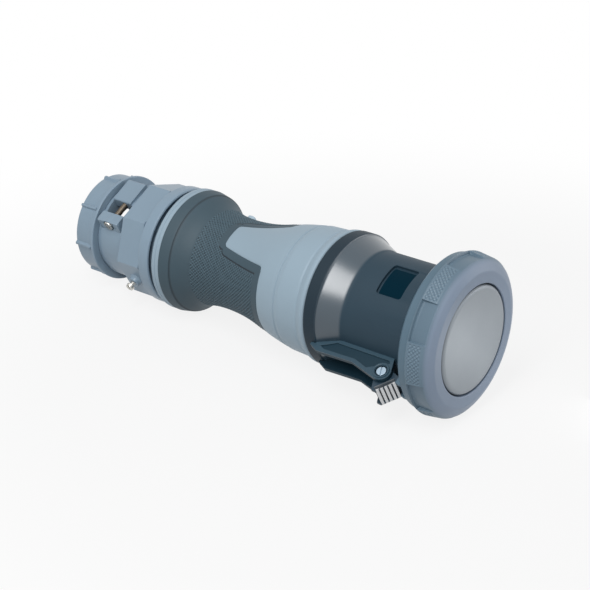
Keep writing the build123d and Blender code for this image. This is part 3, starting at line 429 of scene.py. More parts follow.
def smooth_line(stations, at):
    """The natural cubic spline through the stations: each piece between two of them is a
    cubic, and slope and curvature agree where two pieces meet."""
    x, y = stations.T
    h = np.diff(x)
    count = len(x)
    system = np.eye(count)
    rhs = np.zeros(count)
    k = np.arange(1, count - 1)
    system[k, k - 1] = h[:-1]
    system[k, k] = 2 * (h[:-1] + h[1:])
    system[k, k + 1] = h[1:]
    rhs[k] = 3 * (np.diff(y)[1:] / h[1:] - np.diff(y)[:-1] / h[:-1])
    c = np.linalg.solve(system, rhs)
    b = np.diff(y) / h - h * (2 * c[:-1] + c[1:]) / 3
    d = (c[1:] - c[:-1]) / (3 * h)
    piece = np.clip(np.searchsorted(x, at) - 1, 0, count - 2)
    step = at - x[piece]
    return y[piece] + step * (b[piece] + step * (c[piece] + step * d[piece]))


def neck_radius(x):
    """Radius of the neck at x: the spline, straight on beyond its two ends."""
    return smooth_line(neck, np.clip(x, neck[0, 0], neck[-1, 0]))


def panel_half(x):
    """Half width of a panel: a straight taper, rounded in at its rear corners and flared
    out by a small fillet where it meets the front ring."""
    x = np.clip(x, panel_rear, panel_front)
    line = panel_rear_half + (x - panel_rear) * (panel_front_half - panel_rear_half) / panel_taper
    from_rear = np.clip(panel_corner - (x - panel_rear), 0, panel_corner)
    from_front = np.clip(panel_corner - (panel_front - x), 0, panel_corner)
    rear_cut = panel_corner - np.sqrt(panel_corner**2 - from_rear**2)
    front_flare = panel_corner - np.sqrt(panel_corner**2 - from_front**2)
    return line - rear_cut + front_flare


def panel_grid(x, radius, inside, between):
    """Angles of a grid's columns, row by row, with the edges of two opposite panels on
    fixed columns.

    Inside a panel the angle is its half angle times a share from -1 to 1; between panels it
    goes from one edge to the next by a share from 0 to 1. Also gives, for each column,
    which of the two it is, and its share."""
    half = np.arcsin(panel_half(x) / radius)[:, None]
    own = [half * inside[None, :], half + between[None, :] * (pi - 2 * half)]
    middle = radians(panel_angle)
    angles = np.concatenate([own[0], own[1], own[0] + pi, own[1] + pi], 1) + middle
    is_panel = np.repeat([True, False, True, False], [len(inside), len(between)] * 2)
    share = np.concatenate([inside, between, inside, between])
    return angles, is_panel, share


# How far the shell goes in under the grip.
grip_sunk = 2.2
edge_ease = 0.35
front_rows = eased_profile([
    (-92.0, 41.0, 0.3), (-104.0, 41.0, 0.0), (-104.0, 50.6, 0.3), (-104.9, 51.6, 0.5),
    (-107.4, 51.6, 0.9), (-111.2, 49.7, 0.8), (-112.5, 48.9, 0.8), (-113.8, 49.5, 0.7),
    (-130.6, 48.75, 0.8), (-132.4, 48.0, 0.9), (-134.0, 47.9, 0.8), (-134.2, 41.0, 0.0),
])
front_rows = front_rows[(front_rows[:, 1] > 41.5) & (front_rows[:, 0] > -134.15)]
neck_rows = np.concatenate([
    np.arange(-135.0, -152.0, -1.0),
    panel_front + np.array([0.9, 0.5, 0.3, 0.15, 0.05, 0.0]),
    np.arange(-153.6, -156.2, -0.35),
    np.arange(-157.0, -195.9, -1.0),
    np.arange(-196.0, -198.7, -0.3),
    panel_rear + np.array([0.2, 0.1, 0.0]),
    np.arange(-200.0, -247.0, -1.5),
])
shell_inside = np.concatenate([[-1, -0.985, -0.96], np.linspace(-0.93, 0.93, 21), [0.96, 0.985, 1]])
shell_between = np.linspace(0.001, 0.999, 70)
rear_rows = eased_profile([
    (-246.9, 44.0, 0.0), (-247.0, 48.4, 0.3), (-249.9, 48.9, 0.2), (-250.2, 48.4, 0.2),
    (-250.5, 49.0, 0.2), (-253.2, 49.0, 0.6), (-254.2, 47.6, 0.5), (-254.2, 40.0, 0.2),
    (-285.0, 40.0, 0.5), (-285.0, 33.7, 0.5), (-249.0, 33.7, 1.0), (-243.0, 39.0, 1.0),
])
shell_wall = 5.5
inner_x = np.arange(-240.0, -134.0, 4.0)
inner_rows = np.stack([inner_x, np.minimum(neck_radius(inner_x) - shell_wall, 41.0)], 1)
spigot_rows = np.array([(-92.0, 41.0), (-92.0, 45.6), (-92.3, 45.9), (-103.9, 45.9)])
shell_profile = np.concatenate([
    spigot_rows,
    front_rows,
    np.stack([neck_rows, neck_radius(neck_rows)], 1),
    rear_rows,
    inner_rows,
])
x = shell_profile[:, :1]
neck_start = len(spigot_rows) + len(front_rows)
is_outer = np.zeros(len(x), bool)
is_outer[neck_start: neck_start + len(neck_rows)] = True
angles, is_panel, share = panel_grid(
    x[:, 0], np.maximum(neck_radius(x[:, 0]), 36.0), shell_inside, shell_between
)
in_panel = is_panel[None, :] & (x >= panel_rear - 0.001)
in_front = x > panel_front - 0.001
edge_round = edge_ease * smoothstep(np.abs(share), 0.95, 1.0) * is_panel * (1 - in_front)
end_round = edge_ease * (1 - smoothstep(x, panel_rear, panel_rear + 0.6)) * in_panel
front_round = 0.3 * (1 - smoothstep(x, panel_front, panel_front + 0.8)) * ~is_panel[None, :]
raised = 0.12 - np.maximum(edge_round, end_round) - front_round
radius = shell_profile[:, 1:] + np.where(
    is_outer[:, None], np.where(in_panel | in_front, raised, -grip_sunk - 0.1), 0.0
)
handle_shell = skin("handle_shell_skin", round_axis(x, radius, angles), turn=40.0)
shell_finish = moulded("light_shell", (147, 167, 181), 0.46, 1300.0, 0.02, 0.05, 0.35)
clad(handle_shell, shell_finish)
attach(handle_shell, "housing")
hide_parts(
    "handle_shell", "handle_neck", "handle_waist", "handle_bell", "handle_spigot"
)

# Handle grip: soft dark elastomer moulded over the neck, with a smooth band and a parting
# groove along the panels, diamond knurling between them and a smooth flared bell behind.
knurl_round = 88
knurl_pitch = 2.75
knurl_height = 0.55
knurl_cut = 0.8
knurl_end = -223.5
band_width = 6.2
crease_x = -237.2


def edge_shares(width, fine):
    """Shares from 0 to 1 over a span of this width in mm, with extra ones at these
    distances in mm from both its ends."""
    near = np.array(fine) / width
    inner = np.linspace(near[-1], 1 - near[-1], int(width / fine[-1]) + 1)
    return np.concatenate([near[:-1], inner, 1 - near[:-1][::-1]])


def relief_on(place):
    """The relief that a skin gave its points, as a value on the surface."""
    return place.node("ShaderNodeAttribute", {"attribute_name": "relief"}, {}, 2)


def diamonds(x, angle, count, pitch):
    """Height of a diamond knurl from 0 to 1: two families of V grooves wind round the axis
    with opposite lead, each a triangle wave, and the lower of the two waves is the height."""
    turns = angle * count / (2 * pi)
    waves = [np.abs(2 * np.mod(turns + way * x / pitch, 1) - 1) for way in (1, -1)]
    return np.minimum(*waves) * 2


grip_x = np.concatenate([
    panel_front - np.array([0.0, 0.02, 0.12, 0.3, 0.6, 1.0]),
    np.arange(-154.5, -159.0, -0.6),
    np.arange(-159.3, -195.9, -0.5),
    np.arange(-196.0, -198.9, -0.3),
    panel_rear - np.array([0.0, 0.03, 0.15, 0.35, 0.6, 1.0]),
    np.arange(-200.5, -224.5, -0.5),
    np.arange(-225.0, -237.0, -1.0),
    [-237.2, -237.5, -237.8, -238.4, -240.0, -242.0, -244.0],
    [-245.3, -245.9, -246.4, -246.8, -247.0],
])
bell_start = -237.5
bell = np.interp(
    -grip_x, [237.5, 245.3, 245.9, 246.4, 246.8, 247.0], [47.4, 48.95, 49.05, 48.9, 48.6, 48.1]
)
outer_r = np.where(grip_x > bell_start, neck_radius(grip_x), bell)
inner_x = np.array([
    -247.0, -243.0, -237.5, -234.0, -230.0, -226.0, -221.0, -215.0, -208.0, -200.0,
    -199.0, -190.0, -180.0, -170.0, -160.0, -153.0,
])
grip_inside = np.linspace(-1, 1, 26)[1:-1]
between_width = 97.0
grip_between = edge_shares(between_width, (0.1, 0.12, 0.3, 0.55))
x = np.concatenate([grip_x, inner_x])[:, None]
is_outer = (np.arange(len(x)) < len(grip_x))[:, None]
base = np.concatenate([outer_r, neck_radius(inner_x) - grip_sunk])[:, None]
angles, is_panel, share = panel_grid(x[:, 0], np.maximum(base[:, 0], 36.0), grip_inside, grip_between)
own_angle = angles - radians(panel_angle)
to_side = base * np.abs(np.sin(own_angle)) - panel_half(x)
to_panel = np.where(x < panel_rear, np.hypot(np.maximum(to_side, 0), panel_rear - x), to_side)
to_edge = np.minimum(to_panel, panel_front - x)
round_edge = -edge_ease * (1 - smoothstep(to_edge, 0.0, 0.7))
field = smoothstep(to_edge, band_width + 0.3, band_width + 0.9)
field = field * smoothstep(x, knurl_end - 0.4, knurl_end)
groove = -0.45 * np.exp(-(((to_panel - band_width) / 0.35) ** 2)) * (x < -159) * (x > -203.5)
crease = -0.3 * np.exp(-(((x - crease_x) / 0.45) ** 2))
diamond = np.minimum(diamonds(x, angles, knurl_round, knurl_pitch), knurl_cut) / knurl_cut
height = round_edge + field * (knurl_height * diamond - 0.25) + groove + crease
# The first and last column beside a panel, the row behind it and the row in front run down
# its walls, and inside a panel no cell stays.
wall_share = 0.0011
beside = ~is_panel & (x > panel_rear) & ((share < wall_share) | (share > 1 - wall_share))
behind = is_panel & (x > panel_rear - 0.01)
wall = is_outer & (beside | behind | (x > panel_front - 0.01))
radius = np.where(is_outer, base + np.where(wall, -grip_sunk, height), base)
keep = ~(is_panel & (x > panel_rear + 0.001))
keep = keep & np.roll(keep, -1, 0)
# The relief also carries painted shade: it is lower in the knurl's valleys, the parting groove and the
# bell's crease.
relief = np.where(is_outer, 0.6 + field * (diamond - 0.55) + groove * 1.6 + crease, 0.3)
grip_points = round_axis(x, radius, angles)
handle_grip = skin("handle_grip_skin", grip_points, keep=keep, turn=22.0, relief=relief)
grip_finish, shader, place = new_finish("soft_grip")
cloud = noise(place, 24.0, 3.0)
pores = noise(place, 1700.0, 2.0)
heights = relief_on(place)
# Painted shade: the knurl's valleys, the parting groove and the bell's crease are painted darker, and
# the knurl's tops lighter.
blend_colour(
    fade(heights * 0.85 + cloud * 0.15, 0.12, 0.95), paint(12, 27, 36), paint(66, 89, 101)
).feed(shader, "Base Color")
(0.5 + cloud * 0.1 + pores * 0.12).feed(shader, "Roughness")
roughen(shader, pores, 0.5, 0.04)
clad(handle_grip, grip_finish)
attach(handle_grip, "housing")
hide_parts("handle_grip")

# Hanging lug: a small square post of the shell's plastic that stands through the grip,
# opposite the hinge. Its outline is the curve |cos|^4 + |sin|^4 = 1.
lug_finish = moulded("lug_plastic", (176, 196, 210), 0.4, 1300.0, 0.02)
cross = np.linspace(0, 2 * pi, 40, endpoint=False)[None, :]
rise = np.array([34.0, 42.2, 42.7, 42.95, 43.0, 43.0])[:, None]
shrink = np.array([0.0, 0.0, 0.12, 0.4, 0.8, 20.0])[:, None]
power = np.abs(np.cos(cross)) ** 4 + np.abs(np.sin(cross)) ** 4
long = np.cos(cross) * power**-0.25 * np.maximum(3.5 - shrink, 0)
aside = np.sin(cross) * power**-0.25 * np.maximum(4.5 - shrink, 0)
lug_x = -222.0
lug_angle = radians(key_angle)
lug_points = np.stack(np.broadcast_arrays(
    lug_x + long,
    -rise * sin(lug_angle) - aside * cos(lug_angle),
    rise * cos(lug_angle) - aside * sin(lug_angle),
), -1)
cord_lug = skin("hanging_lug", lug_points, closed=False, poles=True)
clad(cord_lug, lug_finish)
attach(cord_lug, "housing")

# Seals: rings of black moulded rubber. One lies in the housing's socket, one behind the
# lid, and the thickest in the gland, where it grips the cable.
rubber_finish = moulded("seal_rubber", (36, 40, 43), 0.62, 600.0, 0.05)
for name in ("housing_seal", "lid_seal", "gland_seal"):
    clad(nodes[name], rubber_finish)

# Union nut: grey-blue nylon, a smooth ring in front and eight flats behind, whose cutter
# run-outs leave scallops on the ring's sloped shoulder.
nut_profile = closer(eased_profile([
    (-263.5, 40.4, 0.3), (-263.5, 44.9, 0.4), (-259.3, 45.5, 0.2), (-259.0, 45.9, 0.2),
    (-259.6, 47.2, 0.5), (-262.0, 47.5, 0.8), (-268.9, 47.5, 1.1), (-270.4, 45.0, 0.4),
    (-270.8, 47.0, 0.1), (-292.6, 47.0, 0.3), (-294.0, 45.6, 0.4),
    (-294.0, 37.4, 0.3), (-291.0, 37.4, 0.2), (-291.0, 40.4, 0.2),
]), 0.7)
nut_turns = np.linspace(0, 2 * pi, 720, endpoint=False)[None, :]
x, profile_r = nut_profile[:, :1], nut_profile[:, 1:]
# Each flat is a plane: its radius is the distance over the cosine of the angle from the
# flat's middle. The shoulder falls three times as fast as it runs back.
flat_distance = 43.1
nut_top = 47.5
ring_rear = -268.9
chamfer_start = -292.6
facet = np.mod(nut_turns - radians(hinge_angle) + pi / 8, pi / 4) - pi / 8
flat_r = flat_distance / np.cos(facet)
shoulder = nut_top - np.maximum(ring_rear - x, 0) * 3.0
cut = np.maximum(flat_r, shoulder) - np.maximum(chamfer_start - x, 0)
is_outer = (profile_r > 42.0) & (x < -268.0)
radius = np.where(is_outer, np.minimum(profile_r, cut), profile_r)
union_nut = skin("union_nut_skin", round_axis(x, radius, nut_turns), turn=14.0)
gland_finish = moulded("gland_grey", (131, 152, 169), 0.36, 1200.0, 0.015, 0.06, 0.45)
clad(union_nut, gland_finish)
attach(union_nut, "housing")
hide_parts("union_nut")


def stud(name, angle, x_middle, profile, columns=48, aside=0.0, lead=0.0, closed=False, sides=None):
    """A profile of (height, r) turned about a line square to the axis, at this angle and x,
    and this far aside. A closed profile is a ring.

    A lead adds a screw thread: r shrinks by the thread's depth times a triangle wave of
    height / lead - turn. Sides make the part beyond the hole a rounded block that reaches
    so far to +x, -x and both ways aside: there r / full r is a share of the block's radius,
    (sum of (part of the unit direction / side) ** 16) ** (-1/16)."""
    a = radians(angle)
    turn = np.linspace(0, 2 * pi, columns, endpoint=False)[None, :]
    height, r = profile[:, :1], profile[:, 1:]
    if lead:
        wave = np.abs(2 * np.mod(height / lead - turn / (2 * pi), 1) - 1)
        r = r - thread_depth * wave * (r > 1.0)
    if sides:
        parts = np.stack([np.cos(turn), -np.cos(turn), np.sin(turn), -np.sin(turn)])
        block = np.maximum(parts, 0) / np.array(sides)[:, None, None]
        r = np.where(r > tab_hole, r / tab_full * np.sum(block ** 16, 0) ** (-1 / 16), r)
    across = r * np.cos(turn)
    tangent = r * np.sin(turn) + aside
    return skin(name, np.stack(np.broadcast_arrays(
        x_middle + across,
        -height * sin(a) - tangent * cos(a),
        height * cos(a) - tangent * sin(a),
    ), -1), closed=closed, poles=not closed, turn=40.0)


thread_depth = 0.22
tab_hole = 5.25
tab_full = 10.0
lock_x = -281.0
lock_boss = stud("nut_screw_boss", hinge_angle, lock_x, np.array([
    (41.0, 0.0), (41.0, 6.4), (43.4, 6.0), (44.3, 5.1), (45.0, 4.75), (46.4, 4.6),
    (46.85, 4.45), (47.0, 4.1), (47.0, 1.9), (46.6, 1.75), (46.0, 1.7), (46.0, 0.0),
]))
clad(lock_boss, gland_finish)
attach(lock_boss, "housing")

# Lock screw: nickel-plated steel with a slotted pan head. It goes through the nut's boss
# into the handle, and its thread shows above the boss.
eased("nut_lock_screw", 0.2, steel_finish, "housing")
lock_rod = np.arange(44.0, 50.2, 0.1)
lock_thread = stud("nut_lock_thread", hinge_angle, lock_x, np.stack([
    np.concatenate([[44.0], lock_rod, [50.2]]),
    np.concatenate([[0.0], np.full(len(lock_rod), 1.75), [0.0]]),
], 1), columns=24, lead=0.8)
clad(lock_thread, steel_finish)
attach(lock_thread, "housing")

# Cable clamp: moulded tube with an open side, and the saddle pressed in by two slotted
# screws with square nuts; all of the same grey-blue nylon.
eased("clamp_body", 0.3, gland_finish, "housing", joined="clamp_cradle")
eased("gland_sleeve", 0.2, gland_finish, "housing")
eased("clamp_saddle", 0.5, gland_finish, "saddle")
# Painted shade: the clamp screws' threads get a darker copy of the screws' steel.
shaded_thread_finish = turned_metal("thread_steel_painted_shade", (118, 108, 96), 0.4)
hinge_turn = radians(hinge_angle)
screw_up = np.array([0.0, -sin(hinge_turn), cos(hinge_turn)])
screw_aside = 34.8
saddle_x = -307.75
shank_reach = 2.6
head_foot = 23.1


def thinned(points):
    """The screw's shank goes in by a tenth under its head, so that its thread stands out:
    the part of each point square to the screw's line shrinks."""
    tall = points @ screw_up
    flat = points - np.outer(tall, screw_up)
    away = flat - (flat.min(0) + flat.max(0)) / 2
    on_shank = (np.linalg.norm(away, axis=1) < shank_reach) & (tall < head_foot)
    return points - away * 0.1 * on_shank[:, None]


# The saddle's tabs: raised faces round the screws' holes, which cover more of the screw on
# the side of the strap than on the outer side.
tab_face = np.array([
    (16.0, 10.0), (24.0, 10.0), (24.45, 9.85), (24.6, 9.6), (24.6, 5.2), (24.45, 5.0), (22.9, 4.9),
])
for letter, aside in (("a", -screw_aside), ("b", screw_aside)):
    outward = (4.3, 6.2) if aside > 0 else (6.2, 4.3)
    tab = stud(
        f"saddle_tab_{letter}", hinge_angle, saddle_x, tab_face, columns=192, aside=aside,
        closed=True, sides=(10.6, 10.6, *outward),
    )
    clad(tab, gland_finish)
    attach(tab, "saddle")
    screw = eased(f"clamp_screw_{letter}", 0.25, steel_finish, f"screw_{letter}", shape=thinned)
    rod = np.arange(-9.0, 15.0, 0.12)
    thread = stud(f"clamp_thread_{letter}", hinge_angle, saddle_x, np.stack([
        np.concatenate([[-9.0], rod, [15.0]]),
        np.concatenate([[0.0], np.full(len(rod), 2.45), [0.0]]),
    ], 1), columns=24, aside=aside, lead=0.9)
    clad(thread, shaded_thread_finish)
    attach(thread, f"screw_{letter}")

# Gland: a thrust ring presses the seal as the end nut turns. Both are moulded, and the nut
# has eight grip ribs and a disc-like lip in front.
clad(nodes["thrust_ring"], moulded("thrust_plastic", (120, 138, 154), 0.45))
end_profile = closer(eased_profile([
    (-322.5, 36.4, 0.2), (-322.5, 42.6, 0.4), (-322.9, 43.0, 0.3), (-324.7, 43.0, 0.4),
    (-325.4, 40.9, 0.5), (-329.6, 40.7, 0.2), (-330.0, 40.3, 0.2), (-342.6, 40.3, 0.8),
    (-344.0, 38.8, 0.7), (-344.0, 25.0, 0.5), (-343.0, 24.0, 0.5), (-341.0, 24.0, 0.3),
    (-341.0, 36.4, 0.3),
]), 0.6)
x, profile_r = end_profile[:, :1], end_profile[:, 1:]
nut_turns = np.linspace(0, 2 * pi, 576, endpoint=False)[None, :]
rib_angle = 7.0
rib_height = 1.9
rib_place = np.abs(np.mod(nut_turns - radians(rib_angle) + pi / 8, pi / 4) - pi / 8) * 40.6
rib = rib_height * (1 - smoothstep(rib_place, 0.7, 1.7)) * smoothstep(-x, 325.6, 326.6)
rib = rib * (1 - smoothstep(-x, 342.8, 343.9))
radius = profile_r + rib * (profile_r > 38.0)
end_nut = skin("end_nut_skin", round_axis(x, radius, nut_turns), turn=35.0)
clad(end_nut, gland_finish)
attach(end_nut, "nut")
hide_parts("end_nut")

# Lid: a moulded disc with a bevelled plate pressed on it. The plate is satin silver-grey,
# with fine flecks like those of metallic paint.
# Painted shade: the disc is painted near-black, so the gap round the plate shows dark.
clad(nodes["lid_cap"], moulded("lid_plastic_painted_shade", (22, 34, 44), 0.5, gloss=0.2))
plate_profile = closer(eased_profile([
    (4.8, 0.01, 0.0), (4.8, 40.4, 0.2), (7.7, 40.4, 0.3), (8.8, 39.5, 0.6), (9.3, 37.8, 0.9),
    (9.3, 0.01, 0.0),
]), 1.2)
plate_turns = np.linspace(0, 2 * pi, 240, endpoint=False)[None, :]
x, profile_r = plate_profile[:, :1], plate_profile[:, 1:]
plate = skin("lid_plate_skin", round_axis(x, profile_r, plate_turns), turn=40.0)
plate_finish, shader, place = new_finish("plate_grey")
flecks = noise(place, 2300.0, 2.0)
cloud = noise(place, 30.0, 2.0)
blend_colour(flecks * 0.5 + cloud * 0.5, paint(124, 132, 139), paint(150, 157, 163)).feed(
    shader, "Base Color"
)
(0.36 + flecks * 0.14).feed(shader, "Roughness")
roughen(shader, flecks, 0.4, 0.02)
shader.inputs["Metallic"].default_value = 0.35
clad(plate, plate_finish)
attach(plate, "lid")
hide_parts("lid_plate")

# Hinge hoop: the moulded band behind the ring, with its two arms down to the hinge pin. The
# arms, behind the band, are painted darker than it is: painted shade.
band_rear = -0.0205
hoop_finish, shader, place = new_finish("hoop_grey")
along = coordinate(place, 0)
cloud = noise(place, 30.0, 3.0)
band_not_arm_shade = fade(along + cloud * 0.001, band_rear, band_rear + 0.001)
blend_colour(band_not_arm_shade, paint(40, 60, 74), paint(84, 108, 124)).feed(shader, "Base Color")
(0.32 + cloud * 0.1).feed(shader, "Roughness")
shader.inputs["Specular IOR Level"].default_value = 0.4
eased("hinge_hoop", 0.35, hoop_finish, "lid")

# Thumb rest: a ribbed pad of bright satin plastic across the arms, five rounded ribs with
# painted shade in the gaps between them.
pad_top = np.array([-31.4, 67.6])
pad_foot = np.array([-21.2, 55.6])
pad_half = 8.8
rib_count = 5
pad_run = pad_foot - pad_top
pad_length = np.linalg.norm(pad_run)
pad_along = pad_run / pad_length
pad_out = np.array([-pad_along[1], pad_along[0]])
rib_share = np.linspace(0, 1, 24 * rib_count + 1)
rib_phase = np.abs(2 * np.mod(rib_share * rib_count, 1) - 1)
rib_top = 1.55
rib_rise = rib_top - 1.5 * smoothstep(rib_phase, 0.62, 0.86)
ribbed = pad_top + np.outer(rib_share * pad_length, pad_along) + np.outer(rib_rise, pad_out)
pad_thick = 2.2
pad_back = np.array([pad_foot - pad_thick * pad_out, pad_top - pad_thick * pad_out])
pad_outline = np.concatenate([ribbed, pad_back])
pad_centre = pad_outline.mean(0)
# Rows across the pad as (share of the half width, size of the outline), closed at both ends.
pad_rows = np.array([
    (-1, 0.0), (-1, 0.93), (-0.975, 0.985), (-0.94, 1), (0.94, 1), (0.975, 0.985), (1, 0.93), (1, 0),
])
aside = (pad_rows[:, 0] * pad_half)[:, None]
outline = pad_centre + (pad_outline - pad_centre)[None] * pad_rows[:, 1, None, None]
pad_points = np.stack(np.broadcast_arrays(
    outline[..., 0],
    -outline[..., 1] * sin(hinge_turn) - aside * cos(hinge_turn),
    outline[..., 1] * cos(hinge_turn) - aside * sin(hinge_turn),
), -1)
deep = np.full(len(pad_outline), 0.4)
deep[:len(ribbed)] = rib_rise / rib_top
thumb_rest = skin(
    "thumb_rest_skin", pad_points, closed=False, poles=True, turn=50.0, relief=deep[None, :]
)
pad_finish, shader, place = new_finish("bright_pad")
cloud = noise(place, 60.0, 3.0)
heights = relief_on(place)
# Painted shade: the gaps between the ribs are painted dark.
blend_colour(
    fade(heights * 0.9 + cloud * 0.1, 0.25, 0.75), paint(44, 54, 62), paint(206, 208, 210)
).feed(shader, "Base Color")
(0.28 + cloud * 0.14).feed(shader, "Roughness")
(fade(heights, 0.3, 0.7) * 0.5).feed(shader, "Metallic")
clad(thumb_rest, pad_finish)
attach(thumb_rest, "lid")
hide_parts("thumb_rest")

# Bayonet ring: grey-blue nylon with six sunk flats between six raised fields of diamond
# knurling, a rounded front shoulder and a lip over the edge of the lid's plate.
ring_profile = closer(eased_profile([
    (-9.0, 51.4, 0.2), (-9.0, 60.4, 0.3), (-8.4, 61.0, 0.4), (3.0, 59.5, 0.5),
    (4.4, 58.6, 0.8), (6.9, 55.4, 1.6), (9.0, 50.2, 0.9), (9.0, 42.3, 0.3), (8.4, 41.6, 0.3),
    (5.0, 41.6, 0.1), (5.0, 51.4, 0.1),
]), 0.45)
ring_r = 61.0
pocket_half = radians(14.5)
pocket_step = pi / 3
# One pocket and one field: columns stand close together at these distances from an edge.
pocket_edge = np.array([0.0, 0.1, 0.25, 0.45, 0.7, 1.0]) / ring_r
flat_end = pocket_half - pocket_edge[-1]
field_start = pocket_half + pocket_edge[-1]
one_step = np.concatenate([
    np.linspace(-flat_end, flat_end, 14),
    pocket_half - pocket_edge[-2:0:-1],
    pocket_half + pocket_edge[:-1],
    np.linspace(field_start, pocket_step - field_start, 56),
    pocket_step - pocket_half - pocket_edge[-2::-1],
    pocket_step - pocket_half + pocket_edge[1:-1],
])
ring_turns = (one_step[None, :] + np.arange(6)[:, None] * pocket_step).reshape(1, -1)
x, profile_r = ring_profile[:, :1], ring_profile[:, 1:]
from_middle = np.abs(np.mod(ring_turns + pocket_step / 2, pocket_step) - pocket_step / 2)
pocket_place = (from_middle - pocket_half) * ring_r
across_pocket = 1 - smoothstep(pocket_place, -0.35, 0.1)
along_pocket = smoothstep(x, -8.1, -7.7)
pocket_r = 58.3
sunk = np.maximum(profile_r - pocket_r, 0) * (x < 6.0) * across_pocket * along_pocket
ledge = 0.5 * (1 - smoothstep(x, -6.9, -6.6)) * across_pocket * along_pocket
knurl_span = smoothstep(x, -7.4, -7.0) * (1 - smoothstep(x, 1.9, 2.3))
knurl_field = smoothstep(pocket_place, 1.0, 1.5) * knurl_span
ring_knurl_round = 126
ring_knurl_pitch = 3.0
diamond = np.minimum(diamonds(x, ring_turns, ring_knurl_round, ring_knurl_pitch), knurl_cut)
knurl = 0.65 * (diamond - knurl_cut) * knurl_field
is_outer = profile_r > 55.0
radius = np.where(is_outer, profile_r - sunk + ledge * (sunk > 0) + knurl * (x < 3), profile_r)
# The relief is lower in the knurl's valleys and in the sunk flats, for painted shade there.
relief = 0.5 + 0.55 * (diamond - 0.5) * knurl_field - 0.08 * across_pocket * (sunk > 0.5)
ring = skin("bayonet_ring_skin", round_axis(x, radius, ring_turns), turn=26.0, relief=relief)
knurled_finish, shader, place = new_finish("knurled_ring_grey")
cloud = noise(place, 22.0, 3.0)
lumps = noise(place, 1400.0, 2.0)
heights = relief_on(place)
along = coordinate(place, 0)
# Painted shade: the knurl's valleys and the sunk flats are painted darker, and the knurl's tops lighter.
raised_part = fade(heights * 0.8 + cloud * 0.12 + lumps * 0.08, 0.0, 1.0)
side_colour = blend_colour(raised_part, paint(64, 86, 102), paint(122, 144, 160))
front_colour = blend_colour(cloud, paint(116, 131, 150), paint(128, 143, 163))
blend_colour(fade(along, 0.0035, 0.0065), side_colour, front_colour).feed(shader, "Base Color")
(0.33 + cloud * 0.1 + lumps * 0.06).feed(shader, "Roughness")
shader.inputs["Specular IOR Level"].default_value = 0.35
clad(ring, knurled_finish)
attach(ring, "ring")
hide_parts("bayonet_ring")

# Hinge pin: steel, slotted head in the near ear, snap ring at the far end; the closing
# spring is wound round it between the arms.
pin_finish = turned_metal("pin_steel", (176, 196, 212), 0.26)
pin_x = -33.0
pin_r = 54.0
pin_middle = np.array([pin_x, -pin_r * sin(hinge_turn), pin_r * cos(hinge_turn)])
pin_line = np.array([0.0, -cos(hinge_turn), -sin(hinge_turn)])


def quarter_turned(points):
    """The pin turned a quarter round its own line, as a screwdriver left its slot: the part
    along the line stays, and the rest becomes its cross product with the line."""
    from_middle = points - pin_middle
    along_pin = np.outer(from_middle @ pin_line, pin_line)
    return pin_middle + along_pin + np.cross(pin_line, from_middle)


eased("hinge_pin", 0.15, pin_finish, "housing", shape=quarter_turned)
# A low raised ring stands round the pin on the outer face of each ear.
ear_ring = np.array([
    (11.2, 6.3), (13.0, 6.2), (13.3, 5.9), (13.3, 5.1), (13.1, 4.85), (12.0, 4.8), (11.2, 4.8),
])
for angle, aside in ((30, pin_r), (210, -pin_r)):
    ring_round_pin = stud(f"ear_ring_{angle}", angle, pin_x, ear_ring, aside=aside, closed=True)
    clad(ring_round_pin, ear_finish)
    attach(ring_round_pin, "housing")
clad(nodes["pin_clip"], steel_finish)
clad(nodes["lid_spring"], steel_finish)

# Floor: plain and matt, white to the camera and in reflections. The ring and the handle's
# rim stand on it, and it keeps the object's shadow.


def seen_straight(tree):
    """1 for a ray of the camera, of a reflection or through something clear, else 0."""
    paths = tree.nodes.new("ShaderNodeLightPath")
    camera_ray, glossy_ray, clear_ray = (
        Wire(tree, paths.outputs[f"Is {kind} Ray"]) for kind in ("Camera", "Glossy", "Transmission")
    )
    either = camera_ray.math("MAXIMUM", camera_ray, glossy_ray)
    return either.math("MAXIMUM", either, clear_ray)


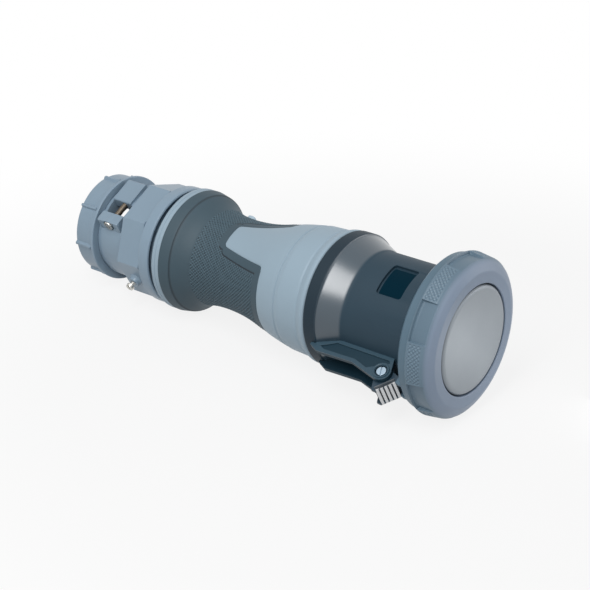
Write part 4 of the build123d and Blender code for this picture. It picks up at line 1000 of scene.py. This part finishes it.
# The lowest points of the ring's rear edge and of the handle's rim, as x and z.
ring_edge_x, ring_edge_z = -8.4, -60.96
rim_edge_x, rim_edge_z = -252.9, -49.2
slope = (rim_edge_z - ring_edge_z) / (ring_edge_x - rim_edge_x)
reach = 6.0
floor_mesh = bpy.data.meshes.new("floor")
floor_mesh.from_pydata([
    (sx * reach, sy * reach, ring_edge_z * mm - slope * (sx * reach - ring_edge_x * mm))
    for sx, sy in ((-1, -1), (1, -1), (1, 1), (-1, 1))
], [], [(0, 1, 2, 3)])
floor = bpy.data.objects.new("floor", floor_mesh)
bpy.context.scene.collection.objects.link(floor)
floor_finish, shader, place = new_finish("white_floor")
shader.inputs["Base Color"].default_value = (0.6, 0.6, 0.6, 1)
shader.inputs["Roughness"].default_value = 0.9
tree = floor_finish.node_tree
far = fade(place.node("ShaderNodeVectorMath", {"operation": "LENGTH"}, {0: place}, 1), 0.25, 0.6)
white = tree.nodes.new("ShaderNodeEmission")
mixed = tree.nodes.new("ShaderNodeMixShader")
tree.links.new(shader.outputs[0], mixed.inputs[1])
tree.links.new(white.outputs[0], mixed.inputs[2])
(seen_straight(tree) * (far * 0.15 + 0.85)).feed(mixed, 0)
tree.links.new(mixed.outputs[0], tree.nodes["Material Output"].inputs["Surface"])
clad(floor, floor_finish)

# Room: white to the camera and to reflections, and otherwise a dim, even light on the
# object from all sides.
world = bpy.data.worlds.new("room")
bpy.context.scene.world = world
world.use_nodes = True
room = world.node_tree.nodes["Background"]
room.inputs["Color"].default_value = (1, 1, 1, 1)
(seen_straight(world.node_tree) * 0.7 + 0.3).feed(room, "Strength")

# Lamps: a tall soft box over the near side, weaker ones in front and beyond, and a small
# one low beside the ring that lifts the lower edge of the lid's plate.


def soft_box(name, position, target, size, watts, colour=(1, 1, 1)):
    """A rectangular lamp of this width and height in metres that looks at its target."""
    data = bpy.data.lights.new(name, "AREA")
    data.shape = "RECTANGLE"
    data.size, data.size_y = size
    data.energy = watts
    data.color = colour
    lamp = bpy.data.objects.new(name, data)
    lamp.location = position
    lamp.rotation_euler = (Vector(target) - Vector(position)).to_track_quat("-Z", "Y").to_euler()
    lamp.visible_camera = False
    bpy.context.scene.collection.objects.link(lamp)


soft_box("key", (0.08, -0.83, 1.05), (-0.085, -0.03, 0.03), (0.4, 1.1), 14.0)
soft_box("front", (1.15, 0.1, 0.65), (-0.1, 0, 0), (0.7, 0.7), 3.0)
soft_box("side", (0.75, 1.0, 0.2), (-0.02, 0, 0), (0.6, 0.6), 2.5, (0.98, 0.97, 1.0))
soft_box("low", (0.085, 0.065, -0.052), (0.01, 0.0, 0.0), (0.06, 0.06), 0.024)
